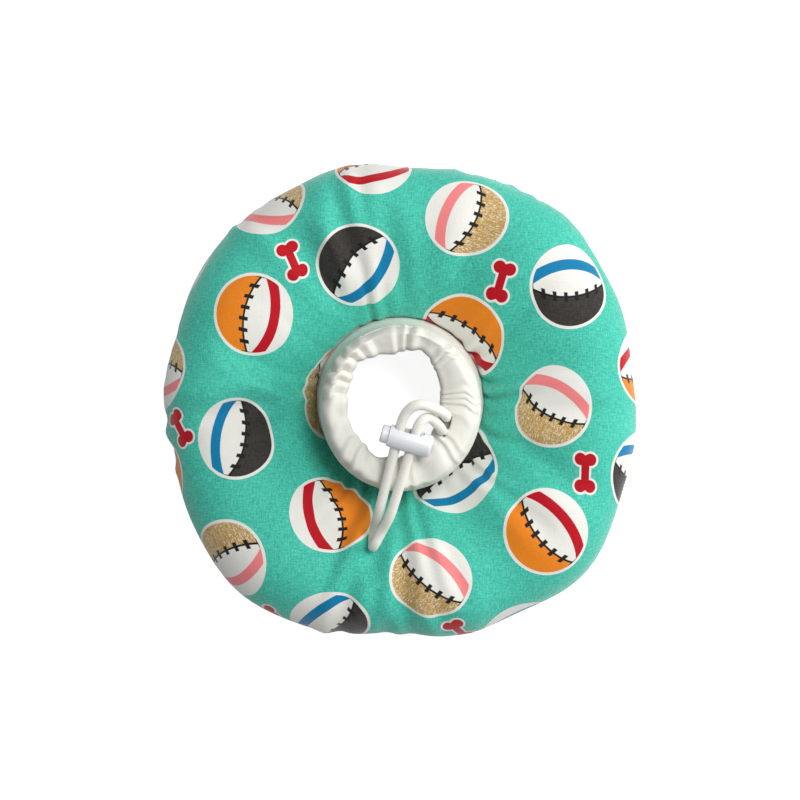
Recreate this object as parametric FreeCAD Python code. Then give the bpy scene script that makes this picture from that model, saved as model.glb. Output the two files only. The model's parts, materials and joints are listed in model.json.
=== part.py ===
"""Soft padded recovery collar for a small pet, with a drawstring neck sleeve and a spring cord lock.

Frame: millimetres, +Z up, origin on the neck axis in the plane that the collar rests on.
Each function makes one sub-part, and each sub-part is written to parts/NODE.step.
"""
import FreeCAD
import Part
import math
import os

os.makedirs("parts", exist_ok=True)

# ---- driving sizes ---------------------------------------------------------------------------
# padded ring
ring_outer_r = 130.0        # to the outer seam
ring_height = 60.0          # from the rest plane to the crown
rest_flat = 20.0            # width of the flat that the stuffed ring settles onto
outer_seam_z = 30.0         # height of the outer seam
cover_cloth = 1.0           # printed cotton, one ply
seam_allowance = 8.0        # cloth turned in behind each seam

# neck sleeve
neck_r = 44.0               # inside radius of the neck opening
sleeve_cloth = 1.0          # one ply of the sleeve
sleeve_top_z = 69.0         # top of the upright wall, where the drawn hem starts
casing_cloth = 1.0          # one ply of the drawcord casing
mouth_cord_r = 32.5         # radius that the drawn cord pulls the mouth in to
casing_slack = 0.5          # room round the cord in its casing
casing_fold = 1.3           # half thickness of the casing's outer fold

# drawcord
cord_d = 5.6
exit_bend = 5.6             # bend by which the cord rises out of the casing
exit_angle_a = -8.0         # where the cord leaves the ring run, coming round from the top
exit_angle_b = -44.0        # where it joins the ring run again
slit_clear = 0.4            # room beside the cords in the slit that they rise through
slit_beyond = 2.4           # how far the slit runs on past each cord

# cord lock
barrel_r = 6.5
barrel_crown = 0.5          # how much the barrel's radius falls towards its ends
barrel_wall = 1.4
barrel_lip = 1.9            # plain rim outside the cord slot
barrel_end_wall = 1.1
barrel_edge = 1.6           # rounding of the closed end
rim_rounding = 0.35         # of the slot's edges, which the cords run over
knob_stick_out = 4.2        # how far the button stands out at rest
knob_edge = 1.3             # rounding of the button's head
knob_dish_r = 3.2           # shallow dish in the button's head, for the thumb
knob_dish_depth = 0.5
press_travel = 2.2          # how far the button goes in
slot_release = 1.6          # how much the pinched slot opens when pressed
slot_clear = 0.3            # room beside the cords in the slot
plunger_fit = 0.1           # radial running fit of the plunger in the barrel
plunger_end = 1.2           # plunger wall between slot and spring
spring_room = 4.6           # room for the spring at rest
spring_wire_d = 0.6
spring_r = 3.6              # mean radius of the coil
spring_turns = 3
spring_corners = 8          # short runs that make up one turn of the coil
lock_below_bend = 12.1      # from the upper end of the straight strands to the lock's middle
lock_travel = 20.0          # slide of the lock down the strands to the rim of the sleeve

# clearances
ply_gap = 0.3               # between neighbouring cloth parts
seat_gap = 0.3              # between the spring's ends and their seats

# Free loop of the cord from its first exit to its second, between the two exit points.
# It arches over, runs down through the lock, is folded on edge where it lies on the crown
# of the ring, and comes back up through the lock.
LOOP_ROUTE = [
    (31.4, -10.1, 91.2),
    (23.0, -4.6, 98.5),
    (12.0, -2.7, 101.5),
    (1.8, -8.3, 97.8),        # upper end of the first straight strand
    (-11.6, -61.4, 75.9),     # lower end of the first straight strand
    (-13.0, -72.6, 64.2),
    (-14.6, -83.9, 63.2),
    (-14.5, -84.2, 74.7),
    (-11.0, -73.6, 75.2),
    (-5.4, -63.2, 75.9),      # lower end of the second straight strand
    (10.1, -12.3, 97.1),      # upper end of the second straight strand
    (16.6, -9.0, 93.4),
    (27.3, -18.5, 87.4),
]
FIRST_STRAND = (3, 4)       # places in LOOP_ROUTE of the straight strands' upper and lower ends
SECOND_STRAND = (10, 9)

# ---- sizes that follow -------------------------------------------------------------------------
outer_layer_r = neck_r + sleeve_cloth + ply_gap            # inside of the sleeve's outer layer
ring_inner_r = outer_layer_r + sleeve_cloth + ply_gap      # the ring's inner seam
section_r = (ring_inner_r + ring_outer_r) / 2              # radius of the section's middle
section_half = (ring_outer_r - ring_inner_r) / 2
outer_seam_top = outer_seam_z + ply_gap / 2                # faces of the two covers at the outer seam
outer_seam_low = outer_seam_z - ply_gap / 2
inner_seam_top = outer_seam_top + sleeve_cloth + ply_gap   # and at the inner seam, round the sleeve
inner_seam_low = outer_seam_low - sleeve_cloth - ply_gap
crown_rise = ring_height - outer_seam_top
crown_r = (section_half ** 2 + crown_rise ** 2) / (2 * crown_rise)
crown_centre_z = ring_height - crown_r
under_reach = section_half - rest_flat / 2
under_r = (under_reach ** 2 + outer_seam_low ** 2) / (2 * outer_seam_low)
casing_cord_r = cord_d / 2 + casing_slack                  # radius of the cord's channel
casing_outer_r = casing_cord_r + casing_cloth
casing_fold_r = outer_layer_r + sleeve_cloth - casing_fold  # centre of the outer fold
casing_fold_z = sleeve_top_z + ply_gap + casing_fold
mouth_cord_z = sleeve_top_z + ply_gap + casing_outer_r      # the cord's channel stays above the wall
exit_z = mouth_cord_z + exit_bend
bore_r = barrel_r - barrel_wall
plunger_r = bore_r - plunger_fit
slot_width = cord_d + 2 * slot_clear


def vec(x, y, z=0.0):
    """A point in space."""
    return FreeCAD.Vector(x, y, z)


def at(r, z):
    """A point of a profile that is turned round the neck axis."""
    return FreeCAD.Vector(r, 0.0, z)


def line(a, b):
    """A straight edge."""
    return Part.LineSegment(a, b).toShape()


def arc(a, through, b):
    """A round edge through three points."""
    return Part.Arc(a, through, b).toShape()


def turned(edges, axis_point=vec(0, 0, 0), axis=vec(0, 0, 1)):
    """Solid of revolution of a closed profile."""
    face = Part.Face(Part.Wire(Part.__sortEdges__(edges)))
    return face.revolve(axis_point, axis, 360)


def ring_band(r_in, r_out, z_low, z_high):
    """Flat ring with a square section."""
    outer = Part.makeCylinder(r_out, z_high - z_low, vec(0, 0, z_low))
    return outer.cut(Part.makeCylinder(r_in, z_high - z_low, vec(0, 0, z_low)))


# ---- padded ring -------------------------------------------------------------------------------
def crown_reach(inset, z):
    """Half width of the upper section at height z, for a surface that lies inset inside the cover."""
    return math.sqrt((crown_r - inset) ** 2 - (z - crown_centre_z) ** 2)


def under_reach_at(inset, z):
    """Half width of the lower section at height z, for a surface that lies inset inside the cover."""
    return rest_flat / 2 + math.sqrt((under_r - inset) ** 2 - (z - under_r) ** 2)


def crown_arc(inset, z_first, z_last):
    """Arc over the crown from the neck side to the outer side."""
    first = at(section_r - crown_reach(inset, z_first), z_first)
    last = at(section_r + crown_reach(inset, z_last), z_last)
    return first, last, arc(first, at(section_r, ring_height - inset), last)


def under_arcs(inset, z_first, z_last):
    """Round, flat and round again underneath, from the neck side to the outer side."""
    radius = under_r - inset
    first = at(section_r - under_reach_at(inset, z_first), z_first)
    last = at(section_r + under_reach_at(inset, z_last), z_last)
    flat_in = at(section_r - rest_flat / 2, inset)
    flat_out = at(section_r + rest_flat / 2, inset)
    edges = []
    for seam, flat, side in ((first, flat_in, -1), (last, flat_out, 1)):
        turn = math.atan2(abs(seam.x - flat.x), under_r - seam.z) / 2
        middle = at(flat.x + side * radius * math.sin(turn), under_r - radius * math.cos(turn))
        edges.append((seam, middle, flat))
    first_arc = arc(*edges[0])
    last_arc = arc(edges[1][2], edges[1][1], edges[1][0])
    return first, last, [first_arc, line(flat_in, flat_out), last_arc]


def turn_in(seam_point, seam_z, ply, side, inner_point):
    """Edges of a seam allowance that lies flat behind a seam: seam edge, end and back."""
    edge = at(seam_point.x + side * seam_allowance, seam_z)
    back = at(edge.x, seam_z + ply)
    return [line(seam_point, edge), line(edge, back), line(back, inner_point)]


def make_front_cover():
    """Upper ply of printed cotton, turned in flat behind both seams."""
    ply = cover_cloth
    first, last, outside = crown_arc(0.0, inner_seam_top, outer_seam_top)
    low, high, inside = crown_arc(ply, inner_seam_top + ply, outer_seam_top + ply)
    neck_side = turn_in(first, inner_seam_top, ply, 1, low)
    rim_side = turn_in(last, outer_seam_top, ply, -1, high)
    return turned([outside] + neck_side + [inside] + rim_side)


def make_back_cover():
    """Lower ply, which settles flat where the collar rests."""
    ply = cover_cloth
    first, last, outside = under_arcs(0.0, inner_seam_low, outer_seam_low)
    low, high, inside = under_arcs(ply, inner_seam_low - ply, outer_seam_low - ply)
    neck_side = turn_in(first, inner_seam_low, -ply, 1, low)
    rim_side = turn_in(last, outer_seam_low, -ply, -1, high)
    return turned(outside + neck_side + inside + rim_side)


def make_filling():
    """Polyester fibre ring, hollowed where the seam allowances lie in it."""
    inset = cover_cloth + ply_gap
    first, last, over = crown_arc(inset, outer_seam_z, outer_seam_z)
    low, high, under = under_arcs(inset, outer_seam_z, outer_seam_z)
    core = turned([over, line(last, high)] + under + [line(low, first)])
    plies = cover_cloth + ply_gap
    rim = ring_band(ring_outer_r - seam_allowance - ply_gap, ring_outer_r + 1.0,
                    outer_seam_low - plies, outer_seam_top + plies)
    neck = ring_band(neck_r, ring_inner_r + seam_allowance + 2 * ply_gap,
                     inner_seam_low - plies, inner_seam_top + plies)
    return core.cut(rim).cut(neck)


# ---- neck sleeve -------------------------------------------------------------------------------
def sleeve_ply(r_in, flange_low, flange_high, wall_foot):
    """One ply of the sleeve: an upright wall with a flange that is sewn into the ring's inner seam."""
    r_out = r_in + sleeve_cloth
    wall = ring_band(r_in, r_out, wall_foot, sleeve_top_z)
    flange = ring_band(r_in, ring_inner_r + seam_allowance, flange_low, flange_high)
    return wall.fuse(flange).removeSplitter()


def make_outer_layer():
    """Outer cotton ply of the sleeve."""
    low = outer_seam_z + ply_gap / 2
    return sleeve_ply(outer_layer_r, low, low + sleeve_cloth, low)


def make_lining():
    """Inner cotton ply, whose wall is the neck opening."""
    high = outer_seam_z - ply_gap / 2
    return sleeve_ply(neck_r, high - sleeve_cloth, high, high - sleeve_cloth)


def drop_section(r_cord, r_fold):
    """Closed profile round two circles, the cord's and the fold's, with straight sides between them."""
    cord = at(mouth_cord_r, mouth_cord_z)
    fold = at(casing_fold_r, casing_fold_z)
    outward = fold - cord
    lean = math.asin((r_cord - r_fold) / outward.Length)
    outward.normalize()
    upward = at(-outward.z, outward.x)
    above = outward * math.sin(lean) + upward * math.cos(lean)
    below = outward * math.sin(lean) - upward * math.cos(lean)
    return [
        line(cord + above * r_cord, fold + above * r_fold),
        arc(fold + above * r_fold, fold + outward * r_fold, fold + below * r_fold),
        line(fold + below * r_fold, cord + below * r_cord),
        arc(cord + below * r_cord, cord - outward * r_cord, cord + above * r_cord),
    ]


def exit_points():
    """Where the two ends of the ring run point straight up, after their bends."""
    points = []
    for angle, way in ((exit_angle_a, -1), (exit_angle_b, 1)):
        a = math.radians(angle)
        x = mouth_cord_r * math.cos(a) - way * exit_bend * math.sin(a)
        y = mouth_cord_r * math.sin(a) + way * exit_bend * math.cos(a)
        points.append(vec(x, y, exit_z))
    return points


def make_casing():
    """Folded hem round the drawn mouth, hollow for the cord, with the slit that the cord rises through."""
    casing = turned(drop_section(casing_outer_r, casing_fold))
    channel = turned(drop_section(casing_cord_r, casing_fold - casing_cloth))
    first, second = exit_points()
    slit_r = cord_d / 2 + slit_clear
    along = vec(second.x - first.x, second.y - first.y)
    start, end = -slit_beyond, along.Length + slit_beyond
    slit = Part.makeBox(end - start, 2 * slit_r, exit_bend + casing_outer_r, vec(start, -slit_r, 0))
    for x in (start, end):
        slit = slit.fuse(Part.makeCylinder(slit_r, exit_bend + casing_outer_r, vec(x, 0, 0)))
    turn = math.degrees(math.atan2(along.y, along.x))
    slit.Placement = FreeCAD.Placement(
        vec(first.x, first.y, mouth_cord_z), FreeCAD.Rotation(vec(0, 0, 1), turn))
    return casing.cut(channel).cut(slit)


# ---- drawcord ----------------------------------------------------------------------------------
def swept(path, diameter, start, heading):
    """Round section carried along a path."""
    circle = Part.Wire(Part.Circle(start, heading, diameter / 2).toShape())
    return Part.Wire(path).makePipeShell([circle], True, False)


def make_cord_in_casing():
    """The run of the cord round the mouth, with both ends bent up through the slit."""
    first, second = exit_points()
    a, b = math.radians(exit_angle_a), math.radians(exit_angle_b)
    far = (a + b) / 2 + math.pi
    ring_a, ring_far, ring_b = (
        vec(mouth_cord_r * math.cos(t), mouth_cord_r * math.sin(t), mouth_cord_z) for t in (a, far, b))

    def bend_middle(ring_end, top):
        along = vec(top.x - ring_end.x, top.y - ring_end.y)
        along.normalize()
        middle = ring_end + along * (exit_bend * math.sin(math.pi / 4))
        return middle + vec(0, 0, exit_bend * (1 - math.cos(math.pi / 4)))

    path = [
        arc(first, bend_middle(ring_a, first), ring_a),
        arc(ring_a, ring_far, ring_b),
        arc(ring_b, bend_middle(ring_b, second), second),
    ]
    return swept(path, cord_d, first, vec(0, 0, -1))


def rounded_path(points):
    """Straight runs joined by tangent arcs, each as large as its two runs allow; also its length and radii."""
    edges, radii, length = [], [], 0.0
    last = points[0]
    for before, corner, after in zip(points, points[1:], points[2:]):
        u = corner - before
        v = after - corner
        shorter = min(u.Length, v.Length)
        turn = u.getAngle(v)
        radius = 0.45 * shorter / math.tan(turn / 2)
        u.normalize()
        v.normalize()
        start = corner - u * (0.45 * shorter)
        end = corner + v * (0.45 * shorter)
        inward = v - u
        inward.normalize()
        middle = corner + inward * (radius / math.cos(turn / 2) - radius)
        edges += [line(last, start), arc(start, middle, end)]
        length += (start - last).Length + radius * turn
        radii.append(radius)
        last = end
    edges.append(line(last, points[-1]))
    length += (points[-1] - last).Length
    return edges, length, radii


def make_cord_loop():
    """The free loop of the cord, from one exit to the other."""
    first, second = exit_points()
    points = [first] + [vec(*p) for p in LOOP_ROUTE] + [second]
    path, length, radii = rounded_path(points)
    loop = swept(path, cord_d, first, points[1] - first)
    section = math.pi * cord_d ** 2 / 4
    print("cord loop: length %.1f, volume over section times length %.4f, radii in diameters"
          % (length, loop.Volume / (section * length)), " ".join("%.2f" % (r / cord_d) for r in radii))
    return loop


# ---- cord lock ---------------------------------------------------------------------------------
def lock_frame():
    """Middle of the lock, its axis, the direction down the strands, and half the strands' spacing there."""
    ends = [[vec(*LOOP_ROUTE[i]) for i in strand] for strand in (FIRST_STRAND, SECOND_STRAND)]
    (first_top, first_low), (second_top, second_low) = ends
    down = (first_low - first_top).normalize() + (second_low - second_top).normalize()
    down.normalize()
    middle = (first_top + second_top) * 0.5 + down * lock_below_bend

    def strand_at(top, low, distance):
        run = low - top
        target = middle + down * distance
        return top + run * ((target - top).dot(down) / run.dot(down))

    across = strand_at(second_top, second_low, 0) - strand_at(first_top, first_low, 0)
    across = (across - down * across.dot(down)).normalize()
    middle = (strand_at(first_top, first_low, 0) + strand_at(second_top, second_low, 0)) * 0.5
    widest = strand_at(second_top, second_low, -barrel_r) - strand_at(first_top, first_low, -barrel_r)
    return middle, across, down, widest.dot(across)


LOCK_MIDDLE, LOCK_AXIS, LOCK_DOWN, strand_spacing = lock_frame()
slot_opening = strand_spacing + cord_d + 2 * slot_clear      # what the cords need, button at rest
slot_end = barrel_lip + slot_opening                         # plunger's pinching edge, at rest
spring_foot = slot_end + plunger_end                         # plunger's inner end, at rest
barrel_floor = spring_foot + spring_room
barrel_length = barrel_floor + barrel_end_wall


def placed_on_cord(shape):
    """Moves a lock part from its own frame (X along the barrel, Y up the strands) onto the cord."""
    up_strands = LOCK_DOWN * -1.0
    normal = LOCK_AXIS.cross(up_strands)
    matrix = FreeCAD.Matrix(
        LOCK_AXIS.x, up_strands.x, normal.x, LOCK_MIDDLE.x,
        LOCK_AXIS.y, up_strands.y, normal.y, LOCK_MIDDLE.y,
        LOCK_AXIS.z, up_strands.z, normal.z, LOCK_MIDDLE.z,
        0, 0, 0, 1,
    )
    moved = shape.copy()
    moved.translate(vec(-(barrel_lip + slot_opening / 2), 0, 0))
    moved.transformShape(matrix, True)
    return moved


def cord_slot(start, end):
    """Round-ended slot across the barrel, from start to end along its axis."""
    half = slot_width / 2
    depth = 4 * barrel_r
    slot = Part.makeBox(end - start - slot_width, depth, slot_width, vec(start + half, -depth / 2, -half))
    for x in (start + half, end - half):
        slot = slot.fuse(Part.makeCylinder(half, depth, vec(x, -depth / 2, 0), vec(0, 1, 0)))
    return slot


def turned_on_barrel(edges):
    """Solid turned round the barrel's axis."""
    return turned(edges, vec(0, 0, 0), vec(1, 0, 0))


def rounded_rims(barrel):
    """Rounds the two rims where the slot comes out of the barrel."""
    rims = []
    half = slot_width / 2 + rim_rounding
    for edge in barrel.Edges:
        box = edge.BoundBox
        middle = edge.valueAt((edge.FirstParameter + edge.LastParameter) / 2)
        outside = math.hypot(middle.y, middle.z) > bore_r + barrel_wall / 2
        beside_slot = box.ZMin > -half and box.ZMax < half
        if outside and beside_slot and box.XMin > barrel_lip / 2 and box.XMax < barrel_floor:
            rims.append(edge)
    return barrel.makeFillet(rim_rounding, rims)


def make_lock_barrel():
    """Moulded barrel, closed at one end, crowned outside and slotted for both strands."""
    rim_r = barrel_r - barrel_crown
    lip_edge = barrel_wall / 3
    corner = barrel_edge * math.sin(math.pi / 4)
    points = [
        at(barrel_floor, 0), at(barrel_floor, bore_r), at(0, bore_r), at(0, rim_r - lip_edge),
        at(lip_edge, rim_r), at(barrel_length - barrel_edge, rim_r), at(barrel_length, rim_r - barrel_edge),
        at(barrel_length, 0),
    ]
    edges = [line(a, b) for a, b in zip(points[:4], points[1:4])]
    lip_middle = at(lip_edge * (1 - math.sin(math.pi / 4)), rim_r - lip_edge * (1 - math.cos(math.pi / 4)))
    edges.append(arc(points[3], lip_middle, points[4]))
    edges.append(arc(points[4], at(barrel_length / 2, barrel_r), points[5]))
    edge_middle = at(barrel_length - barrel_edge + corner, rim_r - barrel_edge + corner)
    edges.append(arc(points[5], edge_middle, points[6]))
    edges += [line(points[6], points[7]), line(points[7], points[0])]
    barrel = turned_on_barrel(edges).cut(cord_slot(barrel_lip, slot_end + slot_release))
    return rounded_rims(barrel)


def make_lock_plunger():
    """Button and plunger in one moulding, whose slot pinches the strands against the barrel's lip."""
    corner = knob_edge * math.sin(math.pi / 4)
    dish_middle = at(-knob_stick_out + knob_dish_depth, 0)
    dish_edge = at(dish_middle.x, knob_dish_r - 2 * knob_dish_depth)
    dish_rim = at(-knob_stick_out, knob_dish_r)
    edge_start = at(-knob_stick_out, plunger_r - knob_edge)
    edge_middle = at(-knob_stick_out + knob_edge - corner, plunger_r - knob_edge + corner)
    edge_end = at(-knob_stick_out + knob_edge, plunger_r)
    foot = at(spring_foot, plunger_r)
    edges = [
        line(dish_middle, dish_edge), line(dish_edge, dish_rim), line(dish_rim, edge_start),
        arc(edge_start, edge_middle, edge_end), line(edge_end, foot), line(foot, at(spring_foot, 0)),
        line(at(spring_foot, 0), dish_middle),
    ]
    plunger = turned_on_barrel(edges)
    return plunger.cut(cord_slot(barrel_lip - press_travel, slot_end))


def make_lock_spring():
    """Compression spring between the plunger and the closed end of the barrel."""
    coil_height = spring_room - 2 * seat_gap - spring_wire_d
    first_x = spring_foot + seat_gap + spring_wire_d / 2
    corners = spring_turns * spring_corners
    points = []
    for i in range(corners + 1):
        turn = 2 * math.pi * i / spring_corners
        x = first_x + coil_height * i / corners
        points.append(vec(x, spring_r * math.cos(turn), spring_r * math.sin(turn)))
    path = rounded_path(points)[0]
    return swept(path, spring_wire_d, points[0], points[1] - points[0])


PARTS = {
    "front_cover": make_front_cover,
    "back_cover": make_back_cover,
    "fibre_filling": make_filling,
    "sleeve_outer_layer": make_outer_layer,
    "sleeve_lining": make_lining,
    "drawcord_casing": make_casing,
    "drawcord_in_casing": make_cord_in_casing,
    "drawcord_loop": make_cord_loop,
}
LOCK_PARTS = {
    "lock_barrel": make_lock_barrel,
    "lock_plunger": make_lock_plunger,
    "lock_spring": make_lock_spring,
}

shapes = {name: make() for name, make in PARTS.items()}
shapes.update({name: placed_on_cord(make()) for name, make in LOCK_PARTS.items()})
for name, shape in shapes.items():
    shape.exportStep("parts/%s.step" % name)
    box = shape.BoundBox
    print("%-20s valid %s, %d solid, %.0f mm3, z %.1f to %.1f"
          % (name, shape.isValid(), len(shape.Solids), shape.Volume, box.ZMin, box.ZMax))

print("lock middle", LOCK_MIDDLE, "barrel axis", LOCK_AXIS, "slide axis", LOCK_DOWN)
print("barrel length %.2f, strand spacing %.2f, slide %.4f m, press %.4f m"
      % (barrel_length, strand_spacing, lock_travel / 1000, press_travel / 1000))
print("neck wall from %.2f to %.2f" % (outer_seam_low - sleeve_cloth, sleeve_top_z))
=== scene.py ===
"""The looks of a padded recovery collar: a stuffed ring of printed cotton round a gathered neck sleeve.

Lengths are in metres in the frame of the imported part: +Z up, and the origin on the neck axis where the
collar rests. Each sub-assembly is a class that builds its pieces, and each finish is a small frozen class.
"""

from __future__ import annotations

import json
import logging
import math
from dataclasses import dataclass, field
from enum import Enum

import bpy
import numpy as np
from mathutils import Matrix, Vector

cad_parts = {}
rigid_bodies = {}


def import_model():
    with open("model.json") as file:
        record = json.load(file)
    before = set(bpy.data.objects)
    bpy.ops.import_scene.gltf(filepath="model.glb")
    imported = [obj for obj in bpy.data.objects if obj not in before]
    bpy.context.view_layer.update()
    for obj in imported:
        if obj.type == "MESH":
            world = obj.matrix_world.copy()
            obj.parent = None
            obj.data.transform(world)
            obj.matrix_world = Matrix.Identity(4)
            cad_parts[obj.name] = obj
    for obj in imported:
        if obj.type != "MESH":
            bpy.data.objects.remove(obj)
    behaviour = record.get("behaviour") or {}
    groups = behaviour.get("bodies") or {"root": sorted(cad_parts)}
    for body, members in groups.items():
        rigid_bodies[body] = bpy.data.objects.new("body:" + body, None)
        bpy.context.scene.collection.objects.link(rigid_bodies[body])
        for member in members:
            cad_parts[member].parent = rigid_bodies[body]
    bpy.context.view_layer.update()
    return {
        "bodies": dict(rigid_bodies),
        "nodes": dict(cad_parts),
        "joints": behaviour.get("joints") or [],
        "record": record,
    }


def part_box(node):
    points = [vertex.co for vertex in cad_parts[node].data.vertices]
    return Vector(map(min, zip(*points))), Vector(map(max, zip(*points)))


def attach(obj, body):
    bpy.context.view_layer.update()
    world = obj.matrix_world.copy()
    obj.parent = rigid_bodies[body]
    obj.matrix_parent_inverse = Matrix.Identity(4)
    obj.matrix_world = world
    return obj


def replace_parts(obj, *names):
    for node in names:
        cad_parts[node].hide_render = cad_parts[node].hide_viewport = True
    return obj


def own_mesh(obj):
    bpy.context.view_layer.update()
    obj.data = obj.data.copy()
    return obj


LOG = logging.getLogger("collar")
MM = 0.001
COLLAR = "collar"
LOCK = "lock"
BONE_KIND = 3  # kinds of motif: 0 to 2 are the balls, in the order of their colours
CUT_EDGE = math.radians(70)
Colour = tuple[float, float, float]
Point = tuple[float, float, float]


class Slot(Enum):
    """Finishes of the pieces made here, as the part's record names them."""

    PRINTED_COTTON = "printed_cotton"
    WHITE_COTTON = "white_cotton"
    FIBRE = "polyester_fibre"
    CORD = "white_cord"
    SPRING = "spring_steel"


# ---- small helpers -----------------------------------------------------------------------------
def linear(colour: Colour) -> tuple[float, float, float, float]:
    """Turns display values into linear light.

    Args:
        colour: red, green and blue from 0 to 255.

    Returns:
        The linear colour, with full alpha.
    """
    parts = [v / 255 for v in colour]
    lifted = [v / 12.92 if v <= 0.04045 else ((v + 0.055) / 1.055) ** 2.4 for v in parts]
    return (lifted[0], lifted[1], lifted[2], 1.0)


def smooth_step(low: float, high: float, values: np.ndarray) -> np.ndarray:
    """Rises smoothly from 0 at low to 1 at high."""
    t = np.clip((values - low) / (high - low), 0, 1)
    return t * t * (3 - 2 * t)


def unit(vectors: np.ndarray) -> np.ndarray:
    """The same directions with length one."""
    return vectors / np.maximum(np.linalg.norm(vectors, axis=-1, keepdims=True), 1e-12)


def within_half_turn(angles: np.ndarray) -> np.ndarray:
    """The same angles, between half a turn back and half a turn on."""
    return (angles + math.pi) % (2 * math.pi) - math.pi


def lengths_along(line: np.ndarray) -> np.ndarray:
    """How far along a line each of its points is."""
    return np.concatenate([[0], np.cumsum(np.linalg.norm(np.diff(line, axis=0), axis=1))])


def evenly_spaced(line: np.ndarray, step: float) -> tuple[np.ndarray, np.ndarray]:
    """Lays points with even steps along a line.

    Args:
        line: points of the line, one to a row.
        step: about how far apart the new points are.

    Returns:
        The new points, and how far along the line each of them is.
    """
    along = lengths_along(line)
    even = np.linspace(0, along[-1], int(along[-1] / step) + 1)
    return np.stack([np.interp(even, along, line[:, k]) for k in range(line.shape[1])], axis=-1), even


def new_object(name: str, mesh: bpy.types.Mesh) -> bpy.types.Object:
    """Puts a mesh into the scene.

    Args:
        name: the object's name.
        mesh: what it holds.

    Returns:
        The new object.
    """
    piece = bpy.data.objects.new(name, mesh)
    bpy.context.scene.collection.objects.link(piece)
    return piece


def make_grid(
    name: str,
    points: np.ndarray,
    flat: np.ndarray | None = None,
    close_rows: bool = False,
    flip: bool = False,
    left_out: np.ndarray | None = None,
) -> bpy.types.Object:
    """A mesh of quads over a grid of points that closes on itself in its first direction.

    Where the columns run round the neck and the rows outwards, the faces look up.

    Args:
        name: the object's name.
        points: places, columns by rows by 3.
        flat: places on the flat cloth, (columns + 1) by rows by 2, for the UV map.
        close_rows: whether the last row joins the first as well.
        flip: turns the faces over.
        left_out: true where a slit leaves no face, columns by rows less one.

    Returns:
        The new object.
    """
    columns, rows = points.shape[:2]
    spans = rows if close_rows else rows - 1
    i, j = np.meshgrid(np.arange(columns), np.arange(spans), indexing="ij")
    right, above = (i + 1) % columns, (j + 1) % rows
    corners = [(i, j), (i, above), (right, above), (right, j)]
    places = [(i, j), (i, above), (i + 1, above), (i + 1, j)]
    if flip:
        corners.reverse()
        places.reverse()
    kept = np.ones(i.shape, bool) if left_out is None else ~left_out
    faces = np.stack([(a * rows + b)[kept] for a, b in corners], axis=-1)
    mesh = bpy.data.meshes.new(name)
    mesh.from_pydata(points.reshape(-1, 3).tolist(), [], faces.tolist())
    if flat is not None:
        layer = mesh.uv_layers.new(name="flat")
        uv = np.stack([flat[a, b][kept] for a, b in places], axis=-2).reshape(-1, 2)
        layer.data.foreach_set("uv", uv.astype(np.float32).ravel())
    mesh.shade_smooth()
    return new_object(name, mesh)


def coordinates(mesh: bpy.types.Mesh) -> np.ndarray:
    """Reads where a mesh's vertices are.

    Args:
        mesh: the mesh.

    Returns:
        One place to a row.
    """
    places = np.zeros(len(mesh.vertices) * 3, np.float32)
    mesh.vertices.foreach_get("co", places)
    return places.reshape(-1, 3).astype(float)


def grid_normals(points: np.ndarray) -> np.ndarray:
    """Works out which way a closed grid faces, on the side that make_grid's faces show.

    Args:
        points: places, columns by rows by 3.

    Returns:
        A unit normal for each point.
    """
    along = np.roll(points, -1, axis=0) - np.roll(points, 1, axis=0)
    up = np.gradient(points, axis=1)
    return unit(np.cross(up, along))


def finished(piece: bpy.types.Object) -> bpy.types.Object:
    """Applies an object's modifiers, so that the mesh that shows is the object's own.

    Args:
        piece: the object with its modifiers.

    Returns:
        The same object.
    """
    graph = bpy.context.evaluated_depsgraph_get()
    live = piece.evaluated_get(graph)
    mesh = bpy.data.meshes.new_from_object(live, preserve_all_data_layers=True, depsgraph=graph)
    piece.modifiers.clear()
    old = piece.data
    piece.data = mesh
    mesh.name = piece.name
    if old.users == 0:
        bpy.data.meshes.remove(old)
    return piece


def thicken(piece: bpy.types.Object, thickness: float) -> bpy.types.Object:
    """Gives a cloth surface its thickness, on the inner side, and closes its edges.

    Args:
        piece: the bare surface.
        thickness: how thick the ply is.

    Returns:
        The same object, finished.
    """
    solid = piece.modifiers.new("cloth", "SOLIDIFY")
    solid.thickness = thickness
    solid.offset = -1
    solid.use_rim = True
    finished(piece)
    piece.data.set_sharp_from_angle(angle=CUT_EDGE)
    return piece


def wear(piece: bpy.types.Object, material: bpy.types.Material, body: str) -> bpy.types.Object:
    """Dresses a finished piece and lets it ride on its body.

    Args:
        piece: the finished piece.
        material: its finish.
        body: the body that it moves with.

    Returns:
        The same object.
    """
    piece.data.materials.clear()
    piece.data.materials.append(material)
    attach(piece, body)
    LOG.info("%s: %d faces, %s", piece.name, len(piece.data.polygons), material.name)
    return piece


@dataclass(frozen=True)
class Waves:
    """A smooth uneven wave round the neck axis, mixed from the waves to a turn that orders gives."""

    orders: range
    seed: int

    def at(self, angles: np.ndarray) -> np.ndarray:
        """Works out the wave.

        Args:
            angles: where it is wanted, in radians.

        Returns:
            Values with a spread of about one.
        """
        rng = np.random.default_rng(self.seed)
        total = np.zeros_like(angles)
        for order in self.orders:
            total = total + rng.normal() * np.cos(order * angles + rng.uniform(0, 2 * math.pi))
        return total / math.sqrt(len(self.orders) / 2)


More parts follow.
